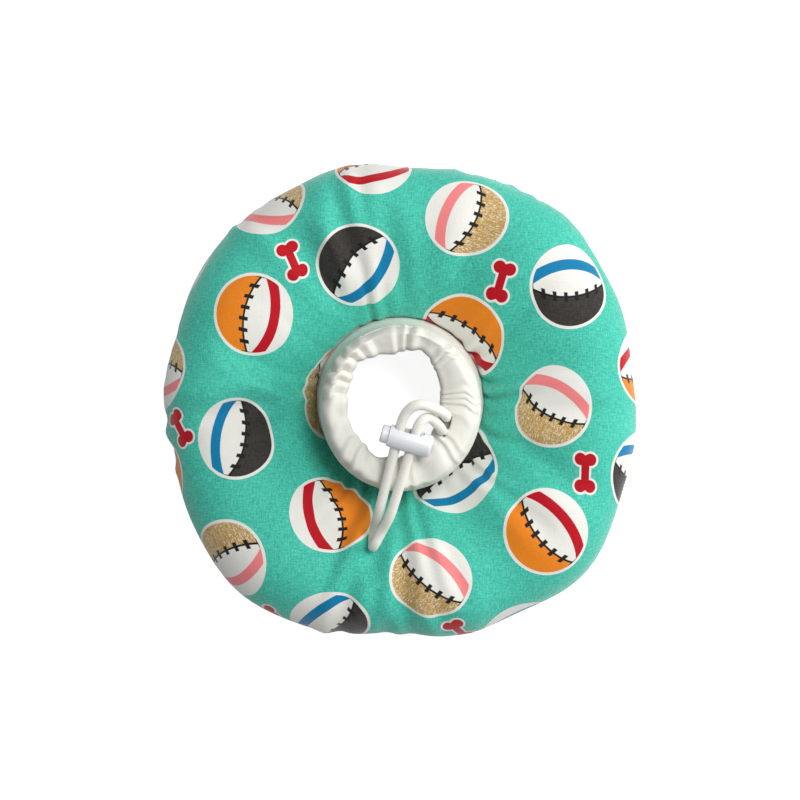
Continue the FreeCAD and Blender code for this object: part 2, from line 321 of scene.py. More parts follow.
@dataclass(frozen=True)
class Slump:
    """How the drawn sleeve sags: above its foot it narrows a little and leans over."""

    lean: Point = (0.3 * MM, -4.2 * MM, 0.0)
    narrowing: float = 1.2 * MM
    oval: float = 0.8 * MM
    foot_z: float = 31.0 * MM
    free_z: float = 46.0 * MM

    def share(self, height: np.ndarray) -> np.ndarray:
        """How much of the sag there is at each height, from 0 to 1."""
        return smooth_step(self.foot_z, self.free_z, height)

    def of(self, points: np.ndarray, share: np.ndarray) -> np.ndarray:
        """Lets points sag.

        Args:
            points: places on or above the ring.
            share: how much of the whole sag each of them has.

        Returns:
            Where they come to lie.
        """
        radius = np.linalg.norm(points[..., :2], axis=-1)
        twice = 2 * np.arctan2(points[..., 1], points[..., 0])
        less = share * (self.narrowing + self.oval * np.cos(twice)) / radius
        sagged = points + share[..., None] * np.array(self.lean)
        sagged[..., :2] -= points[..., :2] * less[..., None]
        return sagged


@dataclass(frozen=True)
class ClothSettling:
    """How a cloth is let settle: what pushes it, how stiff it is and how far it may go.

    In shear it is shear_softer times less stiff than when it is pulled.
    """

    frames: int
    pressure: float
    stretch_stiffness: float
    bending_stiffness: float
    most_move: float
    shear_softer: float = 3.0
    damping: float = 8.0
    air_damping: float = 2.0
    mass: float = 0.2
    quality: int = 6

    def settle(self, piece: bpy.types.Object, pinned: np.ndarray, cut: np.ndarray) -> np.ndarray:
        """Runs the cloth, gives where its points come to lie, and takes the piece away.

        Args:
            piece: the cloth in the shape that it starts from.
            pinned: 1 where a point is sewn down and 0 elsewhere, columns by rows.
            cut: places whose distances are those of the flat cloth, columns by rows by 3.

        Returns:
            Places of the points, columns by rows by 3, none further than most_move from its start.
        """
        start = coordinates(piece.data)
        group = piece.vertex_groups.new(name="sewn")
        group.add(np.flatnonzero(pinned).tolist(), 1.0, "REPLACE")
        piece.shape_key_add(name="start")
        flat_cloth = piece.shape_key_add(name="cut")
        flat_cloth.data.foreach_set("co", cut.astype(np.float32).ravel())
        cloth = piece.modifiers.new("cloth", "CLOTH")
        settings = cloth.settings
        settings.quality = self.quality
        settings.mass = self.mass
        settings.air_damping = self.air_damping
        settings.tension_stiffness = settings.compression_stiffness = self.stretch_stiffness
        settings.shear_stiffness = self.stretch_stiffness / self.shear_softer
        settings.bending_stiffness = self.bending_stiffness
        settings.tension_damping = settings.compression_damping = settings.shear_damping = self.damping
        settings.use_pressure = True
        settings.uniform_pressure_force = self.pressure
        settings.vertex_group_mass = group.name
        settings.pin_stiffness = 1
        settings.rest_shape_key = flat_cloth
        settings.effector_weights.gravity = 0
        cloth.collision_settings.use_collision = False
        cloth.collision_settings.use_self_collision = False
        cloth.point_cache.frame_start = 1
        cloth.point_cache.frame_end = self.frames
        for frame in range(1, self.frames + 1):
            bpy.context.scene.frame_set(frame)
        graph = bpy.context.evaluated_depsgraph_get()
        shape = piece.evaluated_get(graph).to_mesh()
        moved = coordinates(shape) - start
        piece.evaluated_get(graph).to_mesh_clear()
        length = np.linalg.norm(moved, axis=1, keepdims=True)
        LOG.info("%s settled, moving up to %.1f mm", piece.name, length.max() / MM)
        bare = piece.data
        bpy.data.objects.remove(piece)
        bpy.data.meshes.remove(bare)
        bpy.context.scene.frame_set(1)
        moved *= np.minimum(1, self.most_move / np.maximum(length, 1e-9))
        return (start + moved).reshape(cut.shape)


# ---- arithmetic in node trees --------------------------------------------------------------------
class Term:
    """A number in a node tree, which can be added, multiplied and compared like any number."""

    def __init__(self, tree: bpy.types.NodeTree, socket: bpy.types.NodeSocket) -> None:
        """Keeps the socket that the number comes out of."""
        self.tree = tree
        self.socket = socket

    def join(self, operation: str, *others: Term | float, clamp: bool = False) -> Term:
        """Puts one Math node after this number.

        Args:
            operation: the node's operation.
            others: the numbers that go into its other inputs.
            clamp: keeps the result between 0 and 1.

        Returns:
            What comes out.
        """
        node = self.tree.nodes.new("ShaderNodeMath")
        node.operation = operation
        node.use_clamp = clamp
        for place, value in enumerate((self, *others)):
            if isinstance(value, Term):
                self.tree.links.new(value.socket, node.inputs[place])
            else:
                node.inputs[place].default_value = value
        return Term(self.tree, node.outputs[0])

    def __add__(self, other: Term | float) -> Term:
        """Sum."""
        return self.join("ADD", other)

    def __sub__(self, other: Term | float) -> Term:
        """Difference."""
        return self.join("SUBTRACT", other)

    def __mul__(self, other: Term | float) -> Term:
        """Product; of two masks, where both are."""
        return self.join("MULTIPLY", other)

    def __abs__(self) -> Term:
        """Size without its sign."""
        return self.join("ABSOLUTE")

    def below(self, limit: Term | float, edge: float = 0.12) -> Term:
        """A mask of where this is less than limit, with a short soft edge."""
        return (self * -1.0 + limit).join("MULTIPLY_ADD", 1 / edge, 0.5, clamp=True)

    def above(self, limit: float, edge: float = 0.12) -> Term:
        """A mask of where this is more than limit, with a short soft edge."""
        return (self - limit).join("MULTIPLY_ADD", 1 / edge, 0.5, clamp=True)


class Recipe:
    """A material in the making: a principled shader and the nodes that feed it."""

    def __init__(self, name: str) -> None:
        """Starts a material that has its shader and its output and nothing else.

        Args:
            name: the material's name.
        """
        self.material = bpy.data.materials.new(name)
        self.material.use_nodes = True
        self.tree = self.material.node_tree
        self.tree.nodes.clear()
        self.shader = self.tree.nodes.new("ShaderNodeBsdfPrincipled")
        output = self.tree.nodes.new("ShaderNodeOutputMaterial")
        self.tree.links.new(self.shader.outputs[0], output.inputs["Surface"])

    def node(self, kind: str, **inputs: object) -> bpy.types.Node:
        """Makes a node.

        Args:
            kind: the node's type.
            inputs: what goes into its inputs, named with _ for a space.

        Returns:
            The new node.
        """
        made = self.tree.nodes.new(kind)
        for name, value in inputs.items():
            self.feed(made.inputs[name.replace("_", " ")], value)
        return made

    def feed(self, place: bpy.types.NodeSocket, value: object) -> None:
        """Sets an input, or links it if the value comes out of a node.

        Args:
            place: the input.
            value: a plain value, a socket or a number of the tree.
        """
        if isinstance(value, Term):
            self.tree.links.new(value.socket, place)
        elif isinstance(value, bpy.types.NodeSocket):
            self.tree.links.new(value, place)
        else:
            place.default_value = value

    def complete(self, **inputs: object) -> bpy.types.Material:
        """Feeds the shader.

        Args:
            inputs: what goes into its inputs, named with _ for a space.

        Returns:
            The finished material.
        """
        for name, value in inputs.items():
            self.feed(self.shader.inputs[name.replace("_", " ")], value)
        return self.material

    def number(self, socket: bpy.types.NodeSocket) -> Term:
        """A socket as a number."""
        return Term(self.tree, socket)

    def places(self, uv_map: str | None = None) -> bpy.types.NodeSocket:
        """Gives the places that a pattern is laid on.

        Args:
            uv_map: a UV map's name, or None for the object's own coordinates.

        Returns:
            The coordinates.
        """
        if uv_map is None:
            return self.node("ShaderNodeTexCoord").outputs["Object"]
        made = self.node("ShaderNodeUVMap")
        made.uv_map = uv_map
        return made.outputs[0]

    def stretched(self, vector: bpy.types.NodeSocket, scale: Point, turn: float = 0.0) -> bpy.types.NodeSocket:
        """Coordinates turned about Z and then stretched."""
        made = self.node("ShaderNodeMapping", Vector=vector, Scale=scale, Rotation=(0, 0, turn))
        return made.outputs[0]

    def noise(self, vector: bpy.types.NodeSocket, scale: float, detail: float = 2.0, rough: float = 0.5) -> Term:
        """Cloudy noise from 0 to 1."""
        made = self.node("ShaderNodeTexNoise", Vector=vector, Scale=scale, Detail=detail, Roughness=rough)
        return self.number(made.outputs[0])

    def mix(self, share: Term | float, first: object, second: object) -> bpy.types.NodeSocket:
        """Mixes two colours.

        Args:
            share: how much of the second there is, from 0 to 1.
            first: the colour at 0.
            second: the colour at 1.

        Returns:
            The mixed colour.
        """
        made = self.tree.nodes.new("ShaderNodeMix")
        made.data_type = "RGBA"
        self.feed(made.inputs["Factor"], share)
        self.feed(made.inputs["A"], first)
        self.feed(made.inputs["B"], second)
        return next(s for s in made.outputs if s.type == "RGBA")

    def bump(self, height: Term, strength: float, distance: float, after: object = None) -> bpy.types.NodeSocket:
        """Turns a relief into a normal.

        Args:
            height: the relief, from 0 to 1.
            strength: how much of it shows.
            distance: its depth.
            after: a normal that it is laid over.

        Returns:
            The normal.
        """
        made = self.node("ShaderNodeBump", Height=height, Strength=strength, Distance=distance)
        if after is not None:
            self.feed(made.inputs["Normal"], after)
        return made.outputs[0]

    def slubs(self, cloth: bpy.types.NodeSocket, along: Point, across: Point) -> list[Term]:
        """Thick and thin threads of a cloth, in both directions."""
        return [self.noise(self.stretched(cloth, scale), 1.0, 3.0, 0.6) for scale in (along, across)]

    def weave(self, vector: bpy.types.NodeSocket, thread: float) -> Term:
        """Relief of a plain weave, in coordinates that lie in the cloth.

        Args:
            vector: coordinates in metres on the cloth.
            thread: spacing of the threads.

        Returns:
            Height from 0 to 1.
        """
        split = self.node("ShaderNodeSeparateXYZ", Vector=vector)
        waves = [self.number(s) * (math.pi / thread) for s in split.outputs[:2]]
        across, along = [w.join("SINE") for w in waves]
        return (across * along).join("ABSOLUTE")


# ---- finishes ------------------------------------------------------------------------------------
# In each finish a grain is how many clouds of noise go into a metre, a scale is the same along each axis,
# a rough is how much of the finest noise there is, a mottle's gain and offset spread its noise over 0 to 1,
# and what is shown is the share of a relief that the light sees.
@dataclass(frozen=True)
class Ball:
    """One kind of printed play ball."""

    cap: Colour
    band: Colour


@dataclass(frozen=True)
class PrintedCotton:
    """Slubby cotton in a sea green, printed with play balls and small bones.

    The print's own sizes are in millimetres and its laces in radians to a millimetre.
    """

    ground: Colour = (88, 212, 191)
    ground_dark: Colour = (48, 165, 144)
    white: Colour = (232, 231, 226)
    white_in_slubs: Colour = (222, 224, 214)
    ink_in_slubs: Colour = (120, 110, 100)
    lacing: Colour = (26, 23, 24)
    bone: Colour = (182, 6, 26)
    hatch_under: Colour = (236, 226, 200)
    balls: tuple[Ball, ...] = (
        Ball(cap=(240, 134, 0), band=(186, 6, 28)),
        Ball(cap=(38, 37, 35), band=(0, 122, 170)),
        Ball(cap=(190, 150, 74), band=(238, 132, 134)),
    )
    ball_r: float = 21.0
    outline: float = 1.5
    cap_r: float = 36.0
    cap_centre: float = -31.0
    band_r: float = 40.0
    band_centre: float = 29.0
    band_half: float = 2.6
    seam_half: float = 0.5
    lace_half: float = 2.3
    lace_turn: float = 0.55
    lace_from: float = 0.86
    bone_outline: float = 1.1
    bone_half: float = 6.6
    knuckle_r: float = 3.1
    knuckle_out: float = 2.6
    shaft_r: float = 2.1
    stroke_turns: tuple[float, ...] = (0.5, 1.5, 2.4)
    stroke_scale: Point = (1500, 330, 1)
    stroke_half: float = 0.045
    stroke_edge: float = 0.03
    lace_edge: float = 0.1
    thread: float = 0.42 * MM
    slub_scales: tuple[Point, Point] = ((240, 1600, 1), (1500, 260, 1))
    cloud_grain: float = 26.0
    cloud_share: float = 0.3
    speck_grain: float = 1100.0
    speck_rough: float = 0.7
    mottle_gain: float = 1.6
    mottle_offset: float = -2.14
    mottle_in_white: float = 0.25
    mottle_in_ink: float = 0.2
    roughness: float = 0.6
    gloss: float = 0.15
    sheen: float = 0.45
    sheen_roughness: float = 0.4
    weave_shown: float = 0.35
    weave_relief: float = 0.12 * MM
    slubs_shown: float = 0.5
    slub_relief: float = 0.4 * MM

    def material(self) -> bpy.types.Material:
        """Makes the finish, which reads the flat, motif and motif_kind layers.

        Returns:
            The material.
        """
        recipe = Recipe("printed_cotton")
        cloth = recipe.places("flat")
        slub, slub_across = recipe.slubs(cloth, *self.slub_scales)
        cloudy = recipe.noise(cloth, self.cloud_grain)
        speck = recipe.noise(cloth, self.speck_grain, rough=self.speck_rough)
        uneven = slub + slub_across + speck + cloudy * self.cloud_share
        mottle = uneven.join("MULTIPLY_ADD", self.mottle_gain, self.mottle_offset, clamp=True)
        colour = recipe.mix(mottle, linear(self.ground_dark), linear(self.ground))
        kind = recipe.node("ShaderNodeAttribute")
        kind.attribute_name = "motif_kind"
        relief = recipe.bump(recipe.weave(cloth, self.thread), self.weave_shown, self.weave_relief)
        return recipe.complete(
            Base_Color=self.printed(recipe, colour, recipe.number(kind.outputs["Fac"]), mottle),
            Roughness=self.roughness,
            Specular_IOR_Level=self.gloss,
            Sheen_Weight=self.sheen,
            Sheen_Roughness=self.sheen_roughness,
            Normal=recipe.bump(slub + slub_across, self.slubs_shown, self.slub_relief, relief),
        )

    def printed(self, recipe: Recipe, ground: object, kind: Term, mottle: Term) -> bpy.types.NodeSocket:
        """Prints the balls and the bones over the ground colour.

        Args:
            recipe: the material that is being made.
            ground: the cloth's colour without its print.
            kind: which motif a face lies in.
            mottle: the cloth's unevenness, which shows a little in the print too.

        Returns:
            The printed colour.
        """
        split = recipe.node("ShaderNodeSeparateXYZ", Vector=recipe.places("motif"))
        u, v = [recipe.number(s) * (1 / MM) for s in split.outputs[:2]]
        white = recipe.mix(mottle * self.mottle_in_white, linear(self.white), linear(self.white_in_slubs))
        caps = [linear(ball.cap) for ball in self.balls]
        bands = [linear(ball.band) for ball in self.balls]
        caps[-1] = recipe.mix(self.hatching(recipe), linear(self.hatch_under), caps[-1])
        cap, band = caps[0], bands[0]
        for number in range(1, len(self.balls)):
            reached = kind.above(number - 0.5)
            cap = recipe.mix(reached, cap, caps[number])
            band = recipe.mix(reached, band, bands[number])
        cap = recipe.mix(mottle * self.mottle_in_ink, cap, linear(self.ink_in_slubs))
        from_centre = (u * u + v * v).join("SQRT")
        inside = from_centre.below(self.ball_r - self.outline)
        cap_line = self.from_rim(u, v, self.cap_centre, self.cap_r)
        band_line = self.from_rim(u, v, self.band_centre, self.band_r)
        ball = recipe.mix(cap_line.above(0.0) * inside, white, cap)
        ball = recipe.mix(abs(band_line).below(self.band_half) * inside, ball, band)
        crossing = abs((u * self.lace_turn).join("SINE")).above(self.lace_from, self.lace_edge)
        lace = crossing * abs(cap_line).below(self.lace_half)
        lace = lace.join("MAXIMUM", abs(cap_line).below(self.seam_half))
        ball = recipe.mix(lace * inside, ball, linear(self.lacing))
        is_ball = kind.below(BONE_KIND - 0.5)
        is_bone = kind.above(BONE_KIND - 0.5) * kind.below(BONE_KIND + 0.5)
        colour = recipe.mix(from_centre.below(self.ball_r) * is_ball, ground, ball)
        bone_edge = self.bone_distance(u, v)
        colour = recipe.mix(bone_edge.below(self.bone_outline) * is_bone, colour, white)
        return recipe.mix(bone_edge.below(0.0) * is_bone, colour, linear(self.bone))

    @staticmethod
    def from_rim(u: Term, v: Term, centre: float, radius: float) -> Term:
        """Distance outwards from a circle whose centre lies on v."""
        return (u * u + (v - centre).join("POWER", 2.0)).join("SQRT") - radius

    def bone_distance(self, u: Term, v: Term) -> Term:
        """Works out how far a point is from the outline of a bone that lies along u.

        Args:
            u: the point's place along the bone.
            v: its place across the bone.

        Returns:
            The distance in millimetres, below 0 inside.
        """
        end_u = (abs(u) - self.bone_half).join("POWER", 2.0)
        end_v = (abs(v) - self.knuckle_out).join("POWER", 2.0)
        ends = (end_u + end_v).join("SQRT") - self.knuckle_r
        bar_u = (abs(u) - self.bone_half).join("MAXIMUM", 0.0).join("POWER", 2.0)
        bar = (bar_u + v * v).join("SQRT") - self.shaft_r
        return ends.join("MINIMUM", bar)

    def hatching(self, recipe: Recipe) -> Term:
        """Draws loose crossed pen strokes.

        Args:
            recipe: the material that is being made.

        Returns:
            A mask of the strokes.
        """
        motif = recipe.places("motif")
        strokes = []
        for turn in self.stroke_turns:
            vector = recipe.stretched(motif, self.stroke_scale, turn)
            from_line = abs(recipe.noise(vector, 1.0, 1.0) - 0.5)
            strokes.append(from_line.below(self.stroke_half, self.stroke_edge))
        return strokes[0].join("MAXIMUM", strokes[1]).join("MAXIMUM", strokes[2])


@dataclass(frozen=True)
class WhiteCotton:
    """Unprinted off-white cotton of the neck sleeve."""

    colour: Colour = (237, 236, 227)
    shade: Colour = (227, 226, 215)
    thread: float = 0.45 * MM
    slub_scales: tuple[Point, Point] = ((300, 1500, 1), (1400, 320, 1))
    mottle_gain: float = 1.2
    mottle_offset: float = -0.7
    roughness: float = 0.85
    gloss: float = 0.25
    light_through: float = 0.4
    seen_into: float = 2.0 * MM
    sheen: float = 0.1
    sheen_roughness: float = 0.6
    weave_shown: float = 0.4
    weave_relief: float = 0.12 * MM
    slubs_shown: float = 0.3
    slub_relief: float = 0.3 * MM

    def material(self) -> bpy.types.Material:
        """Makes the finish, which reads the flat layer.

        Returns:
            The material.
        """
        recipe = Recipe("white_cotton")
        cloth = recipe.places("flat")
        slub, slub_across = recipe.slubs(cloth, *self.slub_scales)
        mottle = (slub + slub_across).join("MULTIPLY_ADD", self.mottle_gain, self.mottle_offset, clamp=True)
        relief = recipe.bump(recipe.weave(cloth, self.thread), self.weave_shown, self.weave_relief)
        return recipe.complete(
            Base_Color=recipe.mix(mottle, linear(self.shade), linear(self.colour)),
            Roughness=self.roughness,
            Specular_IOR_Level=self.gloss,
            Subsurface_Weight=self.light_through,
            Subsurface_Radius=(1, 1, 0.9),
            Subsurface_Scale=self.seen_into,
            Sheen_Weight=self.sheen,
            Sheen_Roughness=self.sheen_roughness,
            Normal=recipe.bump(slub + slub_across, self.slubs_shown, self.slub_relief, relief),
        )


@dataclass(frozen=True)
class WhiteYarn:
    """White yarn, as in the braided drawcord and the sewing thread."""

    name: str = "braided_cord"
    colour: Colour = (243, 242, 235)
    shade: Colour = (230, 228, 220)
    grain: float = 900.0
    fibre_rough: float = 0.65
    mottle_gain: float = 1.8
    mottle_offset: float = -0.4
    roughness: float = 0.7
    gloss: float = 0.3
    sheen: float = 0.2
    fibres_shown: float = 0.3
    fibre_relief: float = 0.2 * MM

    def material(self) -> bpy.types.Material:
        """Makes the finish, on the piece's own coordinates.

        Returns:
            The material.
        """
        recipe = Recipe(self.name)
        fibres = recipe.noise(recipe.places(), self.grain, 3.0, self.fibre_rough)
        mottle = fibres.join("MULTIPLY_ADD", self.mottle_gain, self.mottle_offset, clamp=True)
        return recipe.complete(
            Base_Color=recipe.mix(mottle, linear(self.shade), linear(self.colour)),
            Roughness=self.roughness,
            Specular_IOR_Level=self.gloss,
            Sheen_Weight=self.sheen,
            Normal=recipe.bump(fibres, self.fibres_shown, self.fibre_relief),
        )


@dataclass(frozen=True)
class MouldedPlastic:
    """Glossy white plastic of the cord lock."""

    colour: Colour = (228, 231, 236)
    cloud: Colour = (228, 231, 237)
    roughness: float = 0.28
    cloud_grain: float = 160.0
    cloud_share: float = 0.5
    scuff_scale: Point = (2600, 500, 900)
    scuff_turn: float = 0.4
    scuff_rough: float = 0.7
    scuffing: float = 0.22
    polish: float = 0.08
    light_through: float = 0.25
    seen_into: Point = (2 * MM, 2 * MM, 2.2 * MM)
    scuffs_shown: float = 0.1
    scuff_relief: float = 0.1 * MM

    def material(self) -> bpy.types.Material:
        """Makes the finish, on the piece's own coordinates.

        Returns:
            The material.
        """
        recipe = Recipe("moulded_plastic")
        places = recipe.places()
        cloudy = recipe.noise(places, self.cloud_grain)
        scuffed = recipe.stretched(places, self.scuff_scale, self.scuff_turn)
        scuffs = recipe.noise(scuffed, 1.0, 4.0, self.scuff_rough)
        return recipe.complete(
            Base_Color=recipe.mix(cloudy * self.cloud_share, linear(self.colour), linear(self.cloud)),
            Roughness=scuffs.join("MULTIPLY_ADD", self.scuffing, self.roughness - self.polish, clamp=True),
            Subsurface_Weight=self.light_through,
            Subsurface_Radius=self.seen_into,
            Subsurface_Scale=1.0,
            Normal=recipe.bump(scuffs + cloudy, self.scuffs_shown, self.scuff_relief),
        )


@dataclass(frozen=True)
class SpringSteel:
    """Bright drawn wire."""

    colour: Colour = (186, 188, 192)
    drawn_lines: Colour = (150, 152, 158)
    line_scale: Point = (900, 5200, 5200)
    least_roughness: float = 0.2
    roughness_varies: float = 0.25

    def material(self) -> bpy.types.Material:
        """Makes the finish, on the piece's own coordinates.

        Returns:
            The material.
        """
        recipe = Recipe("spring_steel")
        drawn = recipe.noise(recipe.stretched(recipe.places(), self.line_scale), 1.0, 3.0)
        return recipe.complete(
            Base_Color=recipe.mix(drawn, linear(self.colour), linear(self.drawn_lines)),
            Metallic=1.0,
            Roughness=drawn.join("MULTIPLY_ADD", self.roughness_varies, self.least_roughness),
        )


@dataclass(frozen=True)
class CardedFibre:
    """Fluffy white polyester fibre."""

    colour: Colour = (238, 239, 240)
    shade: Colour = (214, 216, 219)
    tuft_grain: float = 90.0
    tuft_rough: float = 0.7
    hair_scale: Point = (1500, 300, 900)
    hair_turn: float = 0.7
    hair_rough: float = 0.6
    roughness: float = 0.95
    sheen: float = 0.3
    relief_shown: float = 0.6
    relief: float = 0.8 * MM

    def material(self) -> bpy.types.Material:
        """Makes the finish, on the piece's own coordinates.

        Returns:
            The material.
        """
        recipe = Recipe("carded_fibre")
        places = recipe.places()
        tufts = recipe.noise(places, self.tuft_grain, 4.0, self.tuft_rough)
        combed = recipe.stretched(places, self.hair_scale, self.hair_turn)
        hairs = recipe.noise(combed, 1.0, 3.0, self.hair_rough)
        return recipe.complete(
            Base_Color=recipe.mix(tufts, linear(self.shade), linear(self.colour)),
            Roughness=self.roughness,
            Sheen_Weight=self.sheen,
            Normal=recipe.bump(tufts * 2.0 + hairs, self.relief_shown, self.relief),
        )


@dataclass(frozen=True)
class FloorFinish:
    """Plain white paper that shows as white and still takes the collar's shadow."""

    dull: tuple[float, float, float, float] = (0.80, 0.80, 0.80, 1)
    bright: tuple[float, float, float, float] = (0.82, 0.82, 0.82, 1)
    lift: float = 0.86
    grain: float = 40.0
    roughness: float = 0.9

    def material(self) -> bpy.types.Material:
        """Makes the finish, brighter to the eye and to gloss than to the light that it returns.

        Returns:
            The material.
        """
        recipe = Recipe("studio_floor")
        grain = recipe.noise(recipe.places(), self.grain)
        path = recipe.node("ShaderNodeLightPath")
        seen_by = ("Is Camera Ray", "Is Glossy Ray", "Is Transmission Ray")
        rays = [recipe.number(path.outputs[name]) for name in seen_by]
        seen = rays[0].join("MAXIMUM", rays[1]).join("MAXIMUM", rays[2])
        return recipe.complete(
            Base_Color=recipe.mix(grain, self.dull, self.bright),
            Roughness=self.roughness,
            Specular_IOR_Level=0.0,
            Emission_Color=(1, 1, 1, 1),
            Emission_Strength=seen * self.lift,
        )


# ---- padded ring ---------------------------------------------------------------------------------
@dataclass(frozen=True)
class Creases:
    """A fan of soft creases across one part of the ring, each a valley with a ridge beside it.

    Lengths along the cloth are in widths of one cover, from the inner seam.
    """

    middle: float
    spread: float
    count: int
    start: float
    length: float
    width: float
    depth: float
    slant: float = 0.14
    ridge_share: float = 0.8
    ridge_off: float = 1.4
    fades_in: float = 0.35
    fades_from: float = 0.45
    start_varies: float = 0.1
    length_varies: tuple[float, float] = (0.7, 1.3)
    width_varies: tuple[float, float] = (0.8, 1.4)
    depth_varies: tuple[float, float] = (0.5, 1.2)

    def relief(
        self, angles: np.ndarray, along: np.ndarray, radius: np.ndarray, rng: np.random.Generator
    ) -> np.ndarray:
        """Works out the height of the creases at each point.

        Args:
            angles: the angle of each column, as a column of its own.
            along: how far each row is from the inner seam.
            radius: how far each row is from the neck axis.
            rng: draws the place, slant and size of each crease.

        Returns:
            Heights in metres, below 0 in the valleys.
        """
        total = np.zeros(np.broadcast_shapes(angles.shape, along.shape))
        for _ in range(self.count):
            middle = math.radians(self.middle + self.spread * rng.uniform(-0.5, 0.5))
            start = self.start + rng.uniform(-self.start_varies, self.start_varies)
            length = self.length * rng.uniform(*self.length_varies)
            width = self.width * rng.uniform(*self.width_varies) * rng.choice((-1, 1))
            turned = angles - middle - self.slant * rng.normal() * (along - start)
            across = within_half_turn(turned) * radius / width
            shown = smooth_step(start, start + self.fades_in * length, along)
            shown = shown * (1 - smooth_step(start + self.fades_from * length, start + length, along))
            ridge = self.ridge_share * np.exp(-((across - self.ridge_off) ** 2))
            total += rng.uniform(*self.depth_varies) * shown * (ridge - np.exp(-(across**2)))
        return total * self.depth


